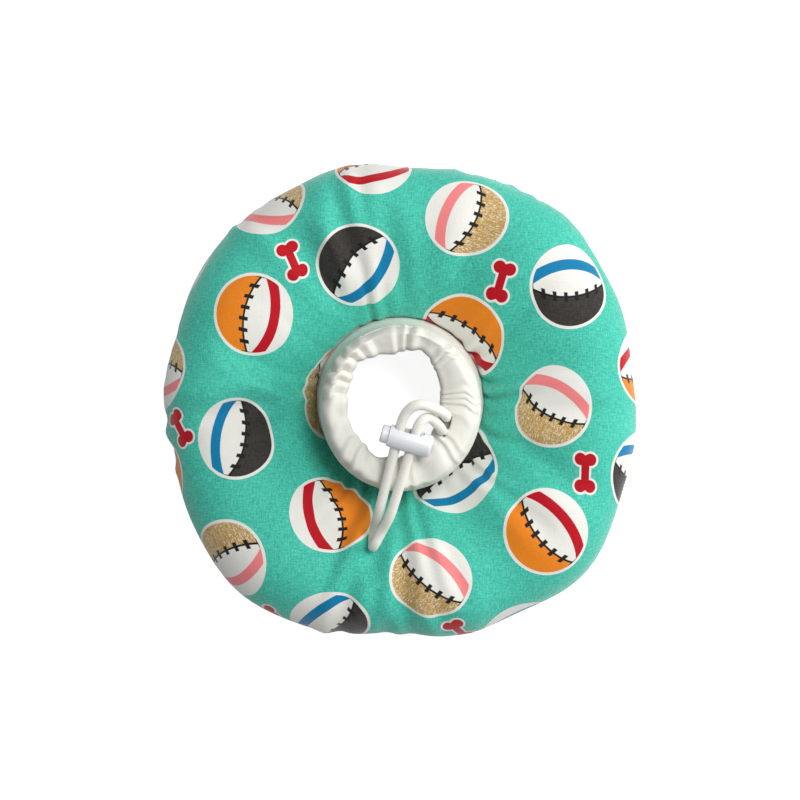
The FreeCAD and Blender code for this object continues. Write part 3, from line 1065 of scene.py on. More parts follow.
@dataclass
class PaddedRing:
    """The stuffed ring: two plies of printed cotton sewn together at both edges, and their filling.

    Each of outline_swells is a wave of the outer seam: how many of it go into a turn, its size in
    millimetres and its phase in degrees. The reach of a fold is in widths of one cover.
    """

    cloth: bpy.types.Material
    fibre: bpy.types.Material
    columns: int = 360
    rows: int = 52
    inner_seam_r: float = 46.6 * MM
    seam_z: float = 30.0 * MM
    rest_flat: float = 20.0 * MM
    ply: float = 0.8 * MM
    outline_r: float = 131.0 * MM
    outline_swells: tuple[tuple[float, float, float], ...] = (
        (1, 1.8, -55.0),
        (2, 0.8, 158.0),
        (3, 0.8, -95.0),
        (4, 3.0, -175.0),
        (5, 0.9, 139.0),
        (6, 0.6, 9.0),
    )
    crown_shift: float = 13.0 * MM
    swell: float = 4.5 * MM
    swell_reach: float = 13.0 * MM
    panel_mid: float = 88.3 * MM
    panel_share: float = 0.93
    settling: ClothSettling = ClothSettling(
        frames=30, pressure=2.5, stretch_stiffness=18, bending_stiffness=0.6, most_move=7 * MM
    )
    resting_share: float = 0.11
    seam_ease: float = 0.06
    crown_ease: float = 0.02
    inner_ease_reach: float = 0.22
    outer_ease_reach: float = 0.16
    outer_ease_share: float = 0.6
    ease_waves: Waves = Waves(range(2, 9), 5)
    ease_varies: float = 0.6
    ease_limits: tuple[float, float] = (0.15, 2.2)
    long_fold: float = 1.1 * MM
    long_fold_reach: float = 0.17
    long_fold_from: float = 0.05
    long_fold_waves: Waves = Waves(range(16, 44), 3)
    long_fold_lengths: Waves = Waves(range(5, 18), 13)
    length_limits: tuple[float, float] = (-0.8, 1.8)
    length_varies: float = 0.7
    long_fold_depths: Waves = Waves(range(1, 6), 17)
    depth_limits: tuple[float, float] = (0.2, 2.0)
    depth_mean: float = 0.75
    depth_varies: float = 0.6
    short_fold: float = 0.8 * MM
    short_fold_reach: float = 0.1
    short_fold_from: float = 0.04
    short_fold_waves: Waves = Waves(range(34, 70), 4)
    short_fold_crowds: Waves = Waves(range(2, 7), 29)
    crowds_above: float = 0.3
    dent: float = 1.0 * MM
    dent_from: float = 0.25
    dent_waves: Waves = Waves(range(6, 15), 41)
    crease_seed: int = 7
    creases: tuple[Creases, ...] = (
        Creases(middle=266, spread=66, count=10, start=0.15, length=0.65, width=4.5 * MM, depth=2.3 * MM),
        Creases(middle=276, spread=56, count=7, start=0.6, length=0.4, width=4.5 * MM, depth=1.1 * MM),
        Creases(middle=185, spread=54, count=6, start=0.1, length=0.65, width=6.0 * MM, depth=2.0 * MM),
        Creases(middle=105, spread=48, count=7, start=0.05, length=0.9, width=5.0 * MM, depth=2.4 * MM),
        Creases(middle=66, spread=24, count=8, start=0.85, length=0.4, width=3.2 * MM, depth=2.2 * MM),
        Creases(middle=165, spread=90, count=6, start=0.82, length=0.35, width=3.5 * MM, depth=1.5 * MM),
        Creases(middle=10, spread=110, count=8, start=0.1, length=0.5, width=6.0 * MM, depth=1.6 * MM),
    )
    slump: Slump = Slump()
    pushed_by_sleeve: float = 0.85
    push_begins: tuple[float, float] = (0.0, 0.06)
    push_ends: tuple[float, float] = (0.12, 0.4)
    sleeve_r: float = 46.8 * MM
    fibre_gap: float = 0.9 * MM
    fibre_tufts: Waves = Waves(range(12, 40), 8)
    fibre_tuft_size: float = 0.4
    fibre_height: float = 0.985
    motif_pitch: float = 61.0 * MM
    motif_turn: float = 0.42
    motif_repeats: int = 4
    motif_shift: tuple[float, float] = (0.5, 0.31)
    motif_seed: int = 11
    ball_size: float = 21 * MM
    bone_size: float = 10 * MM
    tossed_by: float = 2.5 * MM
    back_print_shift: float = 0.173
    angles: np.ndarray = field(init=False)
    crown_z: float = field(init=False)
    seam_r: float = field(init=False)

    def __post_init__(self) -> None:
        """Works out the angles of the columns and the heights that the frame gives."""
        self.angles = np.arange(self.columns) * (2 * math.pi / self.columns)
        self.crown_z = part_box("front_cover")[1].z
        self.seam_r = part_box("front_cover")[1].x

    def outline(self) -> np.ndarray:
        """The outer seam's distance from the neck axis at each column."""
        swells = (size * np.cos(n * self.angles - math.radians(at)) for n, size, at in self.outline_swells)
        return self.outline_r + sum(swells) * MM

    def section(self) -> tuple[np.ndarray, np.ndarray]:
        """Draws the section: an arch over the crown and a flat-footed one underneath.

        Returns:
            The line over the crown, from the inner seam to the outer one, and the line underneath back to the
            inner seam, both as reach from the middle and height.
        """
        half = (self.seam_r - self.inner_seam_r) / 2
        rise = self.crown_z - self.seam_z
        crown_r = (half**2 + rise**2) / (2 * rise)
        widest = math.asin(half / crown_r)
        turn = np.linspace(-widest, widest, self.rows + 1)
        over = np.stack([np.sin(turn) * crown_r, self.crown_z - crown_r + np.cos(turn) * crown_r], axis=-1)
        over[:, 0] += self.crown_shift * (1 - (over[:, 0] / half) ** 2)
        reach = half - self.rest_flat / 2
        under_r = (reach**2 + self.seam_z**2) / (2 * self.seam_z)
        side = np.linspace(math.asin(min(1, reach / under_r)), 0, self.rows * 2 // 5 + 1)
        edge = self.rest_flat / 2
        outer = np.stack([edge + np.sin(side) * under_r, under_r - np.cos(side) * under_r], axis=-1)
        flat_rows = self.rows - 2 * (len(side) - 1)
        flat = np.linspace(edge, -edge, flat_rows + 1)
        middle = np.stack([flat, np.zeros_like(flat)], axis=-1)
        inner = outer[::-1] * (-1, 1)
        under = np.concatenate([outer, middle[1:-1], inner])
        return self.swollen(over, from_start=False), self.swollen(under, from_start=True)

    def swollen(self, line: np.ndarray, from_start: bool) -> np.ndarray:
        """Lets the stuffing swell out a profile beside the outer seam.

        Args:
            line: the profile, from seam to seam.
            from_start: whether the outer seam is at its first point, not at its last.

        Returns:
            The swollen profile.
        """
        along = lengths_along(line) / self.swell_reach
        near = along if from_start else along[-1] - along
        size = self.swell * near * np.exp(1 - near)
        way = unit(np.gradient(line, axis=0))
        return line + np.stack([-way[:, 1], way[:, 0]], axis=-1) * size[:, None]

    def surface(self) -> tuple[np.ndarray, np.ndarray]:
        """The sewn shape before it settles, and its places on the flat cloth.

        Returns:
            Points of the whole section, columns by rows by 3, and the flat distance from the neck axis of
            each row of the crown and of the underside.
        """
        over, under = self.section()
        section = np.concatenate([over, under[1:-1]])
        half = (self.seam_r - self.inner_seam_r) / 2
        share = (section[:, 0] + half) / (2 * half)
        reach = self.inner_seam_r + (self.outline() - self.inner_seam_r)[:, None] * share[None, :]
        height = np.broadcast_to(section[:, 1], reach.shape)
        around = self.angles[:, None]
        points = np.stack([reach * np.cos(around), reach * np.sin(around), height], axis=-1)
        flats = []
        for line in (over, under[::-1]):
            along = lengths_along(line)
            flats.append(self.panel_mid + self.panel_share * (along - along[-1] / 2))
        return points, np.stack(flats)

    def from_seams(self, count: int) -> tuple[np.ndarray, np.ndarray]:
        """How far each row is from the inner and from the outer seam, in widths of one panel."""
        steps = np.arange(count)[None, :]
        return np.minimum(steps, count - steps) / self.rows, np.abs(steps - self.rows) / self.rows

    def ease(self, count: int) -> np.ndarray:
        """Works out how much longer the cloth is than the sewn shape: most at the gathered seams.

        Args:
            count: how many rows the whole section has.

        Returns:
            The share that it is longer by at each point, columns by rows.
        """
        from_inner, from_outer = self.from_seams(count)
        at_inner = np.exp(-((from_inner / self.inner_ease_reach) ** 2))
        at_outer = np.exp(-((from_outer / self.outer_ease_reach) ** 2))
        near_seam = at_inner + self.outer_ease_share * at_outer
        uneven = np.clip(1 + self.ease_varies * self.ease_waves.at(self.angles), *self.ease_limits)
        return self.crown_ease + self.seam_ease * near_seam * uneven[:, None]

    def puckers(self, count: int) -> np.ndarray:
        """Folds the cloth: long folds from the neck, a few short ones at the edge, soft dents and creases.

        Args:
            count: how many rows the whole section has.

        Returns:
            Their height at each point, columns by rows.
        """
        from_inner, from_outer = self.from_seams(count)
        longer = np.clip(self.long_fold_lengths.at(self.angles), *self.length_limits)[:, None]
        length = self.long_fold_reach * (1 + self.length_varies * longer)
        depths = self.depth_mean + self.depth_varies * self.long_fold_depths.at(self.angles)
        shown = np.clip(depths, *self.depth_limits)[:, None]
        long_folds = self.long_fold_waves.at(self.angles)[:, None] * shown
        from_neck = np.exp(-((from_inner / length) ** 2))
        long_folds = long_folds * from_neck * smooth_step(0, self.long_fold_from, from_inner)
        crowded = np.clip(self.short_fold_crowds.at(self.angles) - self.crowds_above, 0, 2.0)[:, None]
        short_folds = self.short_fold_waves.at(self.angles)[:, None] * crowded
        at_edge = np.exp(-((from_outer / self.short_fold_reach) ** 2))
        short_folds = short_folds * at_edge * smooth_step(0, self.short_fold_from, from_outer)
        dents = self.dent_waves.at(self.angles)[:, None] * smooth_step(0, self.dent_from, from_inner)
        folds = long_folds * self.long_fold + short_folds * self.short_fold + dents * self.dent
        rng = np.random.default_rng(self.crease_seed)
        radius = self.inner_seam_r + from_inner * (self.seam_r - self.inner_seam_r)
        return folds + sum(c.relief(self.angles[:, None], from_inner, radius, rng) for c in self.creases)

    def settled(self) -> np.ndarray:
        """Stuffs the ring, and folds its spare cloth.

        Returns:
            Points of the whole section, columns by rows by 3.
        """
        points, _ = self.surface()
        normals = grid_normals(np.concatenate([points[:, -1:], points, points[:, :1]], axis=1))[:, 1:-1]
        rows = points.shape[1]
        seeded = points + normals * self.puckers(rows)[..., None]
        from_inner, _ = self.from_seams(rows)
        pushed = smooth_step(*self.push_begins, from_inner) * (1 - smooth_step(*self.push_ends, from_inner))
        pushed[:, self.rows :] = 0
        seeded += self.pushed_by_sleeve * pushed[..., None] * np.array(self.slump.lean)
        seeded[..., 2] = np.maximum(seeded[..., 2], 0)
        pinned = np.zeros(points.shape[:2])
        pinned[:, [0, self.rows]] = 1.0
        resting = np.abs(np.arange(rows) - (self.rows + rows) / 2) < self.rows * self.resting_share
        pinned[:, resting] = 1.0
        cut = seeded * (1 + self.ease(rows))[..., None]
        moved = self.settling.settle(make_grid("stuffed_ring", seeded, close_rows=True), pinned, cut)
        return self.clear_of_sleeve(moved)

    def clear_of_sleeve(self, points: np.ndarray) -> np.ndarray:
        """Keeps the settled cloth outside the neck sleeve and above the ground.

        Args:
            points: where it settled, which changes.

        Returns:
            The same points.
        """
        share = self.slump.share(points[..., 2])[..., None]
        middle = share * np.array(self.slump.lean[:2])
        out = points[..., :2] - middle
        clear = np.where(points[..., 2:] > self.seam_z, self.sleeve_r - share * self.slump.narrowing, 0)
        points[..., :2] = middle + out * np.maximum(1, clear / np.linalg.norm(out, axis=-1, keepdims=True))
        points[..., 2] = np.maximum(points[..., 2], 0)
        return points

    def print_motifs(self, piece: bpy.types.Object) -> None:
        """Gives each face the motif that it lies nearest to, and its places in that motif.

        Args:
            piece: a cover with its flat layer, which gains the motif and motif_kind layers.
        """
        mesh = piece.data
        uv = np.zeros(len(mesh.loops) * 2, np.float32)
        mesh.uv_layers["flat"].data.foreach_get("uv", uv)
        uv = uv.reshape(-1, 4, 2).astype(float)
        centres, turns, kinds, sizes = self.motifs()
        middle = uv.mean(axis=1)
        far = np.linalg.norm(middle[:, None, :] - centres[None, :, :], axis=2) - sizes[None, :]
        nearest = far.argmin(axis=1)
        offset = uv - centres[nearest][:, None, :]
        cos, sin = np.cos(turns[nearest])[:, None], np.sin(turns[nearest])[:, None]
        right, up = offset[..., 0], offset[..., 1]
        local = np.stack([right * cos + up * sin, up * cos - right * sin], axis=-1)
        layer = mesh.uv_layers.new(name="motif")
        layer.data.foreach_set("uv", local.astype(np.float32).ravel())
        kind = mesh.attributes.new("motif_kind", "FLOAT", "FACE")
        kind.data.foreach_set("value", kinds[nearest].astype(np.float32))

    def motifs(self) -> tuple[np.ndarray, np.ndarray, np.ndarray, np.ndarray]:
        """Tosses the motifs over a half-drop repeat.

        Returns:
            Their centres, turns, kinds and sizes.
        """
        rng = np.random.default_rng(self.motif_seed)
        steps = (self.motif_turn, self.motif_turn + math.pi / 3)
        across, drop = (np.array([math.cos(a), math.sin(a)]) * self.motif_pitch for a in steps)
        motifs = []
        repeats = range(-self.motif_repeats, self.motif_repeats + 1)
        for i in repeats:
            for j in repeats:
                at = across * (i + self.motif_shift[0]) + drop * (j + self.motif_shift[1])
                tossed = at + rng.uniform(-1, 1, 2) * self.tossed_by
                motifs.append((tossed, rng.uniform(0, 2 * math.pi), (i + 2 * j) % BONE_KIND, self.ball_size))
                if (i - j) % 3 == 0:
                    between = at + (across + drop) / 3
                    motifs.append((between, rng.uniform(0, 2 * math.pi), BONE_KIND, self.bone_size))
        centres, turns, kinds, sizes = (np.array(column) for column in zip(*motifs))
        return centres, turns, kinds, sizes

    def cover(
        self, name: str, points: np.ndarray, flat: np.ndarray, side: int, shift: float
    ) -> bpy.types.Object:
        """One ply of the printed cotton, cut out of the settled shape.

        Args:
            name: the piece's name.
            points: the ply's part of the settled grid, from the inner seam to the outer one.
            flat: the flat distance from the neck axis of each row.
            side: 1 for the ply on top and -1 for the one underneath, whose print runs the other way.
            shift: how far the print is moved along the cloth.

        Returns:
            The finished piece.
        """
        around = np.append(self.angles, 2 * math.pi)[:, None]
        places = np.stack([flat * np.cos(around) * side + shift, flat * np.sin(around)], axis=-1)
        piece = make_grid(name, points, places, flip=side < 0)
        self.print_motifs(piece)
        return thicken(piece, self.ply)

    def build(self) -> None:
        """Makes the covers and the filling."""
        settled = self.settled()
        flats = self.surface()[1]
        over = settled[:, : self.rows + 1]
        under = np.concatenate([settled[:, self.rows :], settled[:, :1]], axis=1)[:, ::-1]
        front = self.cover("front_cover_cloth", over, flats[0][None, :], 1, 0.0)
        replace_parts(wear(front, self.cloth, COLLAR), "front_cover")
        back = self.cover("back_cover_cloth", under, flats[1][None, :], -1, self.back_print_shift)
        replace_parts(wear(back, self.cloth, COLLAR), "back_cover")
        inner, outer = flats[0][0], flats[0][-1]
        area = math.pi * (outer**2 - inner**2)
        size = (2 * outer, 2 * outer)
        self.fill(settled)

    def fill(self, settled: np.ndarray) -> None:
        """Makes the wad of fibre inside the covers.

        Args:
            settled: the settled shape of the covers.
        """
        coarse = settled[::2, ::2]
        wrapped = np.concatenate([coarse[:, -1:], coarse, coarse[:, :1]], axis=1)
        inward = grid_normals(wrapped)[:, 1:-1]
        tufts = 1 + self.fibre_tuft_size * self.fibre_tufts.at(self.angles[::2])[:, None]
        lain = coarse - inward * (self.ply + self.fibre_gap * tufts)[..., None]
        lain[..., 2] = self.seam_z + (lain[..., 2] - self.seam_z) * self.fibre_height
        wad = wear(make_grid("fibre_filling_wad", lain, close_rows=True), self.fibre, COLLAR)
        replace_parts(wad, "fibre_filling")


# ---- neck sleeve -----------------------------------------------------------------------------------
@dataclass
class NeckSleeve:
    """The white cotton sleeve: a double tube that is gathered round the drawcord at its mouth.

    Tables over the angle in degrees give the hem's inner edge in millimetres from the axis (mouth) and how
    much of the pleats' depth there is (drawn_in). lining_foot holds distances and heights in millimetres.
    """

    cloth: bpy.types.Material
    columns: int = 432
    wall_r: float = 46.3 * MM
    lining_r: float = 44.0 * MM
    foot_z: float = 31.0 * MM
    shoulder_z: float = 68.0 * MM
    crest: tuple[float, float] = (40.0 * MM, 80.5 * MM)
    channel_r: float = 4.2 * MM
    row_step: float = 1.35 * MM
    over_cord_rows: int = 12
    under_cord_rows: int = 8
    lining_rows: int = 20
    knots_eased: int = 6
    wall_height: float = 38.0 * MM
    beside_ring: float = 16.0 * MM
    ply: float = 0.8 * MM
    pleats: int = 25
    pleat_depth: float = 1.2 * MM
    pleat_shifts: Waves = Waves(range(2, 10), 21)
    pleat_shift: float = 2.2
    pleat_depths: Waves = Waves(range(3, 14), 22)
    pleat_depth_varies: float = 0.35
    pleat_depth_limits: tuple[float, float] = (0.45, 1.7)
    pleat_shares: tuple[float, float] = (0.85, 0.2)
    half_pleat_phase: float = 0.8
    pleat_under_cord: float = 0.35
    gathers_from: float = 0.42
    taper: float = 0.1
    drawn_in: tuple[tuple[float, float], ...] = (
        (0, 0.5),
        (45, 0.7),
        (85, 1.4),
        (110, 1.6),
        (150, 1.2),
        (200, 1.1),
        (240, 0.9),
        (290, 0.7),
        (335, 0.8),
    )
    slump: Slump = Slump()
    seam_dents: tuple[float, float, float] = (0.25 * MM, 0.7 * MM, 0.25 * MM)
    pressed_at: tuple[float, float] = (269.0, 34.0)
    pressed_by: float = 2.4 * MM
    pressed_from_r: tuple[float, float] = (34.5 * MM, 38.5 * MM)
    pressed_top: float = 4.0 * MM
    lining_foot: tuple[tuple[float, float], ...] = ((47.4, 29.6), (45.4, 29.3), (44.2, 30.4))
    lining_wall_z: tuple[float, float] = (33.0, 68.4)
    lining_slack: float = 0.25 * MM
    lining_slack_z: tuple[float, float] = (40 * MM, 66 * MM)
    lining_waves: Waves = Waves(range(5, 18), 31)
    slit_angles: tuple[float, float] = (-20.0, -36.5)
    slit_beyond: float = 0.11
    slit_half: float = 3.2 * MM
    slit_bluntness: float = 2.5
    slit_top: float = 0.6
    mouth: tuple[tuple[float, float], ...] = (
        (-9, 21.4),
        (9, 22.0),
        (25, 23.4),
        (44, 25.2),
        (56, 27.8),
        (70, 29.4),
        (98, 24.8),
        (126, 27.8),
        (139, 31.4),
        (155, 28.4),
        (184, 28.6),
        (213, 30.0),
        (234, 30.6),
        (245, 33.6),
        (256, 31.8),
        (285, 29.5),
        (313, 24.5),
    )
    mouth_smoothing: int = 21
    settling: ClothSettling = ClothSettling(
        frames=24, pressure=1.4, stretch_stiffness=14, bending_stiffness=1.0, most_move=6 * MM
    )
    angles: np.ndarray = field(init=False)
    cord_r: np.ndarray = field(init=False)
    cord_z: float = field(init=False)
    pleat: np.ndarray = field(init=False)
    fold: np.ndarray = field(init=False)

    def __post_init__(self) -> None:
        """Works out the columns, the pleats and the run of the cord."""
        self.angles = np.arange(self.columns) * (2 * math.pi / self.columns)
        edge = self.round_table(self.mouth) * MM
        window = np.hanning(self.mouth_smoothing)
        beyond = len(window) // 2
        edge = np.convolve(np.concatenate([edge[-beyond:], edge, edge[:beyond]]), window / window.sum(), "valid")
        self.cord_r = edge + self.channel_r
        low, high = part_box("drawcord_casing")
        self.cord_z = (low.z + high.z) / 2
        phase = self.pleats * self.angles + self.pleat_shift * self.pleat_shifts.at(self.angles)
        depths = 1 + self.pleat_depth_varies * self.pleat_depths.at(self.angles)
        size = np.clip(depths, *self.pleat_depth_limits)
        size = size * self.pleat_depth * self.round_table(self.drawn_in)
        whole, half = self.pleat_shares
        self.pleat = size * (whole * np.cos(phase) + half * np.cos(2 * phase + self.half_pleat_phase))
        self.fold = size * np.sin(phase)

    def round_table(self, table: tuple[tuple[float, float], ...]) -> np.ndarray:
        """Values at every column from a few angles in degrees and their values."""
        places, values = zip(*table)
        return np.interp(np.degrees(self.angles), places, values, period=360)

    def around(self, radius: np.ndarray, height: np.ndarray, sideways: np.ndarray | float = 0.0) -> np.ndarray:
        """Places points round the neck axis.

        Args:
            radius: their distances from the axis, columns by rows or one for each.
            height: their heights, likewise.
            sideways: a small step along the girth, likewise.

        Returns:
            The points, columns by rows by 3.
        """
        cos, sin = np.cos(self.angles)[:, None], np.sin(self.angles)[:, None]
        radius, height = np.broadcast_arrays(radius, height)
        return np.stack([radius * cos - sideways * sin, radius * sin + sideways * cos, height], axis=-1)

    def slumped(self, points: np.ndarray) -> np.ndarray:
        """Lets the wall sag, and leaves the drawn mouth where it is.

        Args:
            points: places on the cloth.

        Returns:
            Where they come to lie.
        """
        radius = np.linalg.norm(points[..., :2], axis=-1)
        free = smooth_step(self.crest[0] - 6 * MM, self.crest[0] + 3 * MM, radius)
        return self.slump.of(points, self.slump.share(points[..., 2]) * free)

    def rising(self) -> tuple[np.ndarray, np.ndarray]:
        """The outer layer before it settles, from the ring's seam to the top of the cord.

        Returns:
            Points, columns by rows by 3, and each row's height on the flat cloth.
        """
        crest_r, crest_z = self.crest
        mean_r = float(self.cord_r.mean())
        knots = np.array([
            (self.wall_r, self.foot_z),
            (self.wall_r, 50 * MM),
            (self.wall_r - 0.3 * MM, self.shoulder_z - 4 * MM),
            (self.wall_r - 1.8 * MM, self.shoulder_z + 5 * MM),
            (crest_r + 2.4 * MM, crest_z - 1.4 * MM),
            (crest_r - 0.5 * MM, crest_z),
            (mean_r + 2.2 * MM, self.cord_z + self.channel_r + 1.4 * MM),
            (mean_r, self.cord_z + self.channel_r),
        ])
        profile, flat = evenly_spaced(knots, self.row_step)
        for _ in range(self.knots_eased):
            profile[1:-1] = (profile[:-2] + 2 * profile[1:-1] + profile[2:]) / 4
        drawn = smooth_step(crest_r + 5 * MM, mean_r, profile[:, 0])[None, :]
        radius = profile[None, :, 0] + (self.cord_r - mean_r)[:, None] * drawn
        gathered = smooth_step(self.gathers_from, 1.0, flat / flat[-1])[None, :]
        tangent = unit(np.gradient(profile, axis=0))
        out, up = tangent[:, 1], -tangent[:, 0]
        depth = self.pleat[:, None] * gathered
        height = profile[None, :, 1] + depth * up
        points = self.around(radius + depth * out, height, self.fold[:, None] * gathered * 0.5)
        return self.slumped(points), flat

    def hem(self) -> np.ndarray:
        """Lays the hem from the top of the cord round its inner side and back underneath to the fold.

        Returns:
            Points, columns by rows by 3.
        """
        turn = np.linspace(math.pi / 2, 3 * math.pi / 2, self.over_cord_rows + 1)[None, 1:]
        flatter = self.pleat_under_cord
        reach = self.channel_r + self.pleat[:, None] * (flatter + (1 - flatter) * np.sin(turn) ** 2)
        start_r, half_fold = self.cord_r[:, None], self.fold[:, None] * 0.5
        over = self.around(start_r + reach * np.cos(turn), self.cord_z + reach * np.sin(turn), half_fold)
        back = np.linspace(0, 1, self.under_cord_rows + 1)[None, 1:]
        low = self.cord_z - reach[:, -1:]
        radius = start_r + (self.lining_r - 1.0 * MM - start_r) * back
        height = low + (self.shoulder_z + 1.0 * MM - low) * back
        under = self.around(radius, height, half_fold * (1 - back))
        return np.concatenate([over, self.slumped(under)], axis=1)

    def settled(self) -> tuple[np.ndarray, np.ndarray]:
        """Lets the outer layer settle.

        Returns:
            Its points, columns by rows by 3, and each row's height on the flat cloth.
        """
        points, flat = self.rising()
        pinned = np.zeros(points.shape[:2])
        pinned[:, flat < self.beside_ring] = 1.0
        pinned[:, -2:] = 1.0
        cut_r = np.full(points.shape[:2], self.wall_r) * (1 - self.taper * flat / flat[-1])
        cut = self.around(cut_r, flat[None, :])
        return self.settling.settle(make_grid("drawn_sleeve", points, flip=True), pinned, cut), flat

    def cut_places(self, rows: np.ndarray) -> np.ndarray:
        """Places on the flat cloth of a piece with these rows."""
        width = np.linspace(0, 2 * math.pi * self.wall_r, self.columns + 1)
        return np.stack(np.meshgrid(width, rows, indexing="ij"), axis=-1)

    def sew(
        self, name: str, node: str, points: np.ndarray, rows: np.ndarray, left_out: np.ndarray | None = None
    ) -> bpy.types.Object:
        """Makes one cloth piece of the sleeve.

        Args:
            name: the piece's name.
            node: the plain solid that it stands for.
            points: its outer surface.
            rows: the height of each row on the flat cloth.
            left_out: where a slit leaves no cloth.

        Returns:
            The finished piece.
        """
        bare = make_grid(name, points, self.cut_places(rows), flip=True, left_out=left_out)
        piece = thicken(bare, self.ply)
        wear(piece, self.cloth, COLLAR)
        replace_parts(piece, node)
        size = (2 * math.pi * self.wall_r, float(abs(rows[-1] - rows[0])))
        return piece

    def line(self) -> None:
        """Makes the lining, from the ring's seam up to the hem."""
        radius, height = zip(*self.lining_foot)
        wall = np.linspace(*self.lining_wall_z, self.lining_rows)
        height = np.append(height, wall) * MM
        radius = np.append(np.array(radius) * MM, np.full(len(wall), self.lining_r))
        rows = lengths_along(np.stack([radius, height], axis=-1))
        slack = self.lining_waves.at(self.angles)[:, None] * self.lining_slack
        risen = smooth_step(*self.lining_slack_z, height)[None, :]
        points = self.around(radius[None, :] + slack * risen + self.ply, height[None, :])
        self.sew("sleeve_lining_cloth", "sleeve_lining", self.slumped(points), rows)

    def build(self) -> np.ndarray:
        """Makes the outer layer, the lining and the gathered hem.

        Returns:
            The row of points along the hem's stitching.
        """
        outer, flat = self.settled()
        hem = self.hem()
        whole = self.pressed(np.concatenate([outer, hem], axis=1))
        seam = int(np.searchsorted(flat, self.wall_height))
        inward = grid_normals(whole)[:, seam - 1 : seam + 2]
        whole[:, seam - 1 : seam + 2] += inward * np.array(self.seam_dents)[None, :, None]
        step = np.linalg.norm(np.diff(hem, axis=1), axis=2).mean(axis=0)
        rows = np.concatenate([flat, flat[-1] + self.row_step + np.append(0, np.cumsum(step))])
        whole = self.open_slit(whole)
        slit = np.zeros((self.columns, whole.shape[1] - 1 - seam), bool)
        slit[:, len(flat) - 1 - seam] = np.minimum(self.in_slit(), np.roll(self.in_slit(), -1)) > 0
        self.sew("sleeve_outer_cloth", "sleeve_outer_layer", whole[:, : seam + 1], rows[: seam + 1])
        self.sew("gathered_hem", "drawcord_casing", whole[:, seam:], rows[seam:], slit)
        self.line()
        return whole[:, seam + 1]

    def pressed(self, points: np.ndarray) -> np.ndarray:
        """Lowers the crest where the strands of the free loop run over it.

        Args:
            points: places on the outer layer and the hem.

        Returns:
            Where they come to lie.
        """
        middle, half = (math.radians(a) for a in self.pressed_at)
        off = np.abs(within_half_turn(self.angles - middle))
        under = (1 - smooth_step(0.6 * half, half, off))[:, None]
        radius = np.linalg.norm(points[..., :2], axis=-1)
        high = smooth_step(self.crest[1] - self.pressed_top, self.crest[1], points[..., 2])
        lowered = points.copy()
        lowered[..., 2] -= self.pressed_by * under * high * smooth_step(*self.pressed_from_r, radius)
        return lowered

    def in_slit(self) -> np.ndarray:
        """Works out how far each column lies within the slit.

        Returns:
            1 at its middle, 0 at its ends and below 0 beyond them.
        """
        first, last = (math.radians(a) for a in self.slit_angles)
        half = (first - last) / 2 + self.slit_beyond
        off = within_half_turn(self.angles - (first + last) / 2)
        return 1 - (off / half) ** 2

    def open_slit(self, points: np.ndarray) -> np.ndarray:
        """Spreads the cloth on top of the channel to both sides of the slit that the cord comes out of.

        Args:
            points: places on the outer layer and the hem.

        Returns:
            Where they come to lie.
        """
        wide = self.slit_half * np.sqrt(np.clip(self.in_slit() * self.slit_bluntness, 0, 1))[:, None]
        radius = np.linalg.norm(points[..., :2], axis=-1)
        off = radius - self.cord_r[:, None]
        side = np.where(off >= 0, 1, -1)
        on_top = smooth_step(self.cord_z, self.cord_z + self.channel_r * self.slit_top, points[..., 2])
        spread = side * np.sqrt(off**2 + wide**2)
        opened = points.copy()
        opened[..., :2] *= (1 + (spread - off) * on_top / radius)[..., None]
        return opened

    def exits(self, height: float) -> list[Point]:
        """Finds where the two ends of the free loop come out of the slit.

        Args:
            height: how high they do, in millimetres.

        Returns:
            Both places in millimetres.
        """
        places = []
        for degrees in self.slit_angles:
            angle = math.radians(degrees)
            radius = float(np.interp(degrees % 360, np.degrees(self.angles), self.cord_r, period=360)) / MM
            places.append((radius * math.cos(angle), radius * math.sin(angle), height))
        return places


# ---- drawcord --------------------------------------------------------------------------------------
def tube(name: str, line: np.ndarray, profile: np.ndarray, around: np.ndarray) -> bpy.types.Object:
    """A closed tube along a line.

    Args:
        name: the object's name.
        line: points down its middle.
        profile: distance of the surface from the line, points by places around.
        around: the angle of each place around, in radians.

    Returns:
        The new object, with its ends closed.
    """
    heading = unit(np.gradient(line, axis=0))
    side = unit(np.cross(heading[0], (0.3, 0.2, 1.0)))
    sides = []
    for way in heading:
        side = unit(side - way * (side @ way))
        sides.append(side)
    sides = np.array(sides)
    other = np.cross(heading, sides)
    ring = sides[:, None] * np.cos(around)[None, :, None] + other[:, None] * np.sin(around)[None, :, None]
    points = line[:, None] + ring * profile[..., None]
    count, length = len(around), len(line)
    piece = make_grid(name, points.transpose(1, 0, 2), flip=True)
    mesh = piece.data
    near, far = (list(range(first, count * length, length)) for first in (0, length - 1))
    faces = [list(face.vertices) for face in mesh.polygons] + [near, far[::-1]]
    places = coordinates(mesh)
    mesh.clear_geometry()
    mesh.from_pydata(places.tolist(), [], faces)
    mesh.shade_smooth()
    return piece


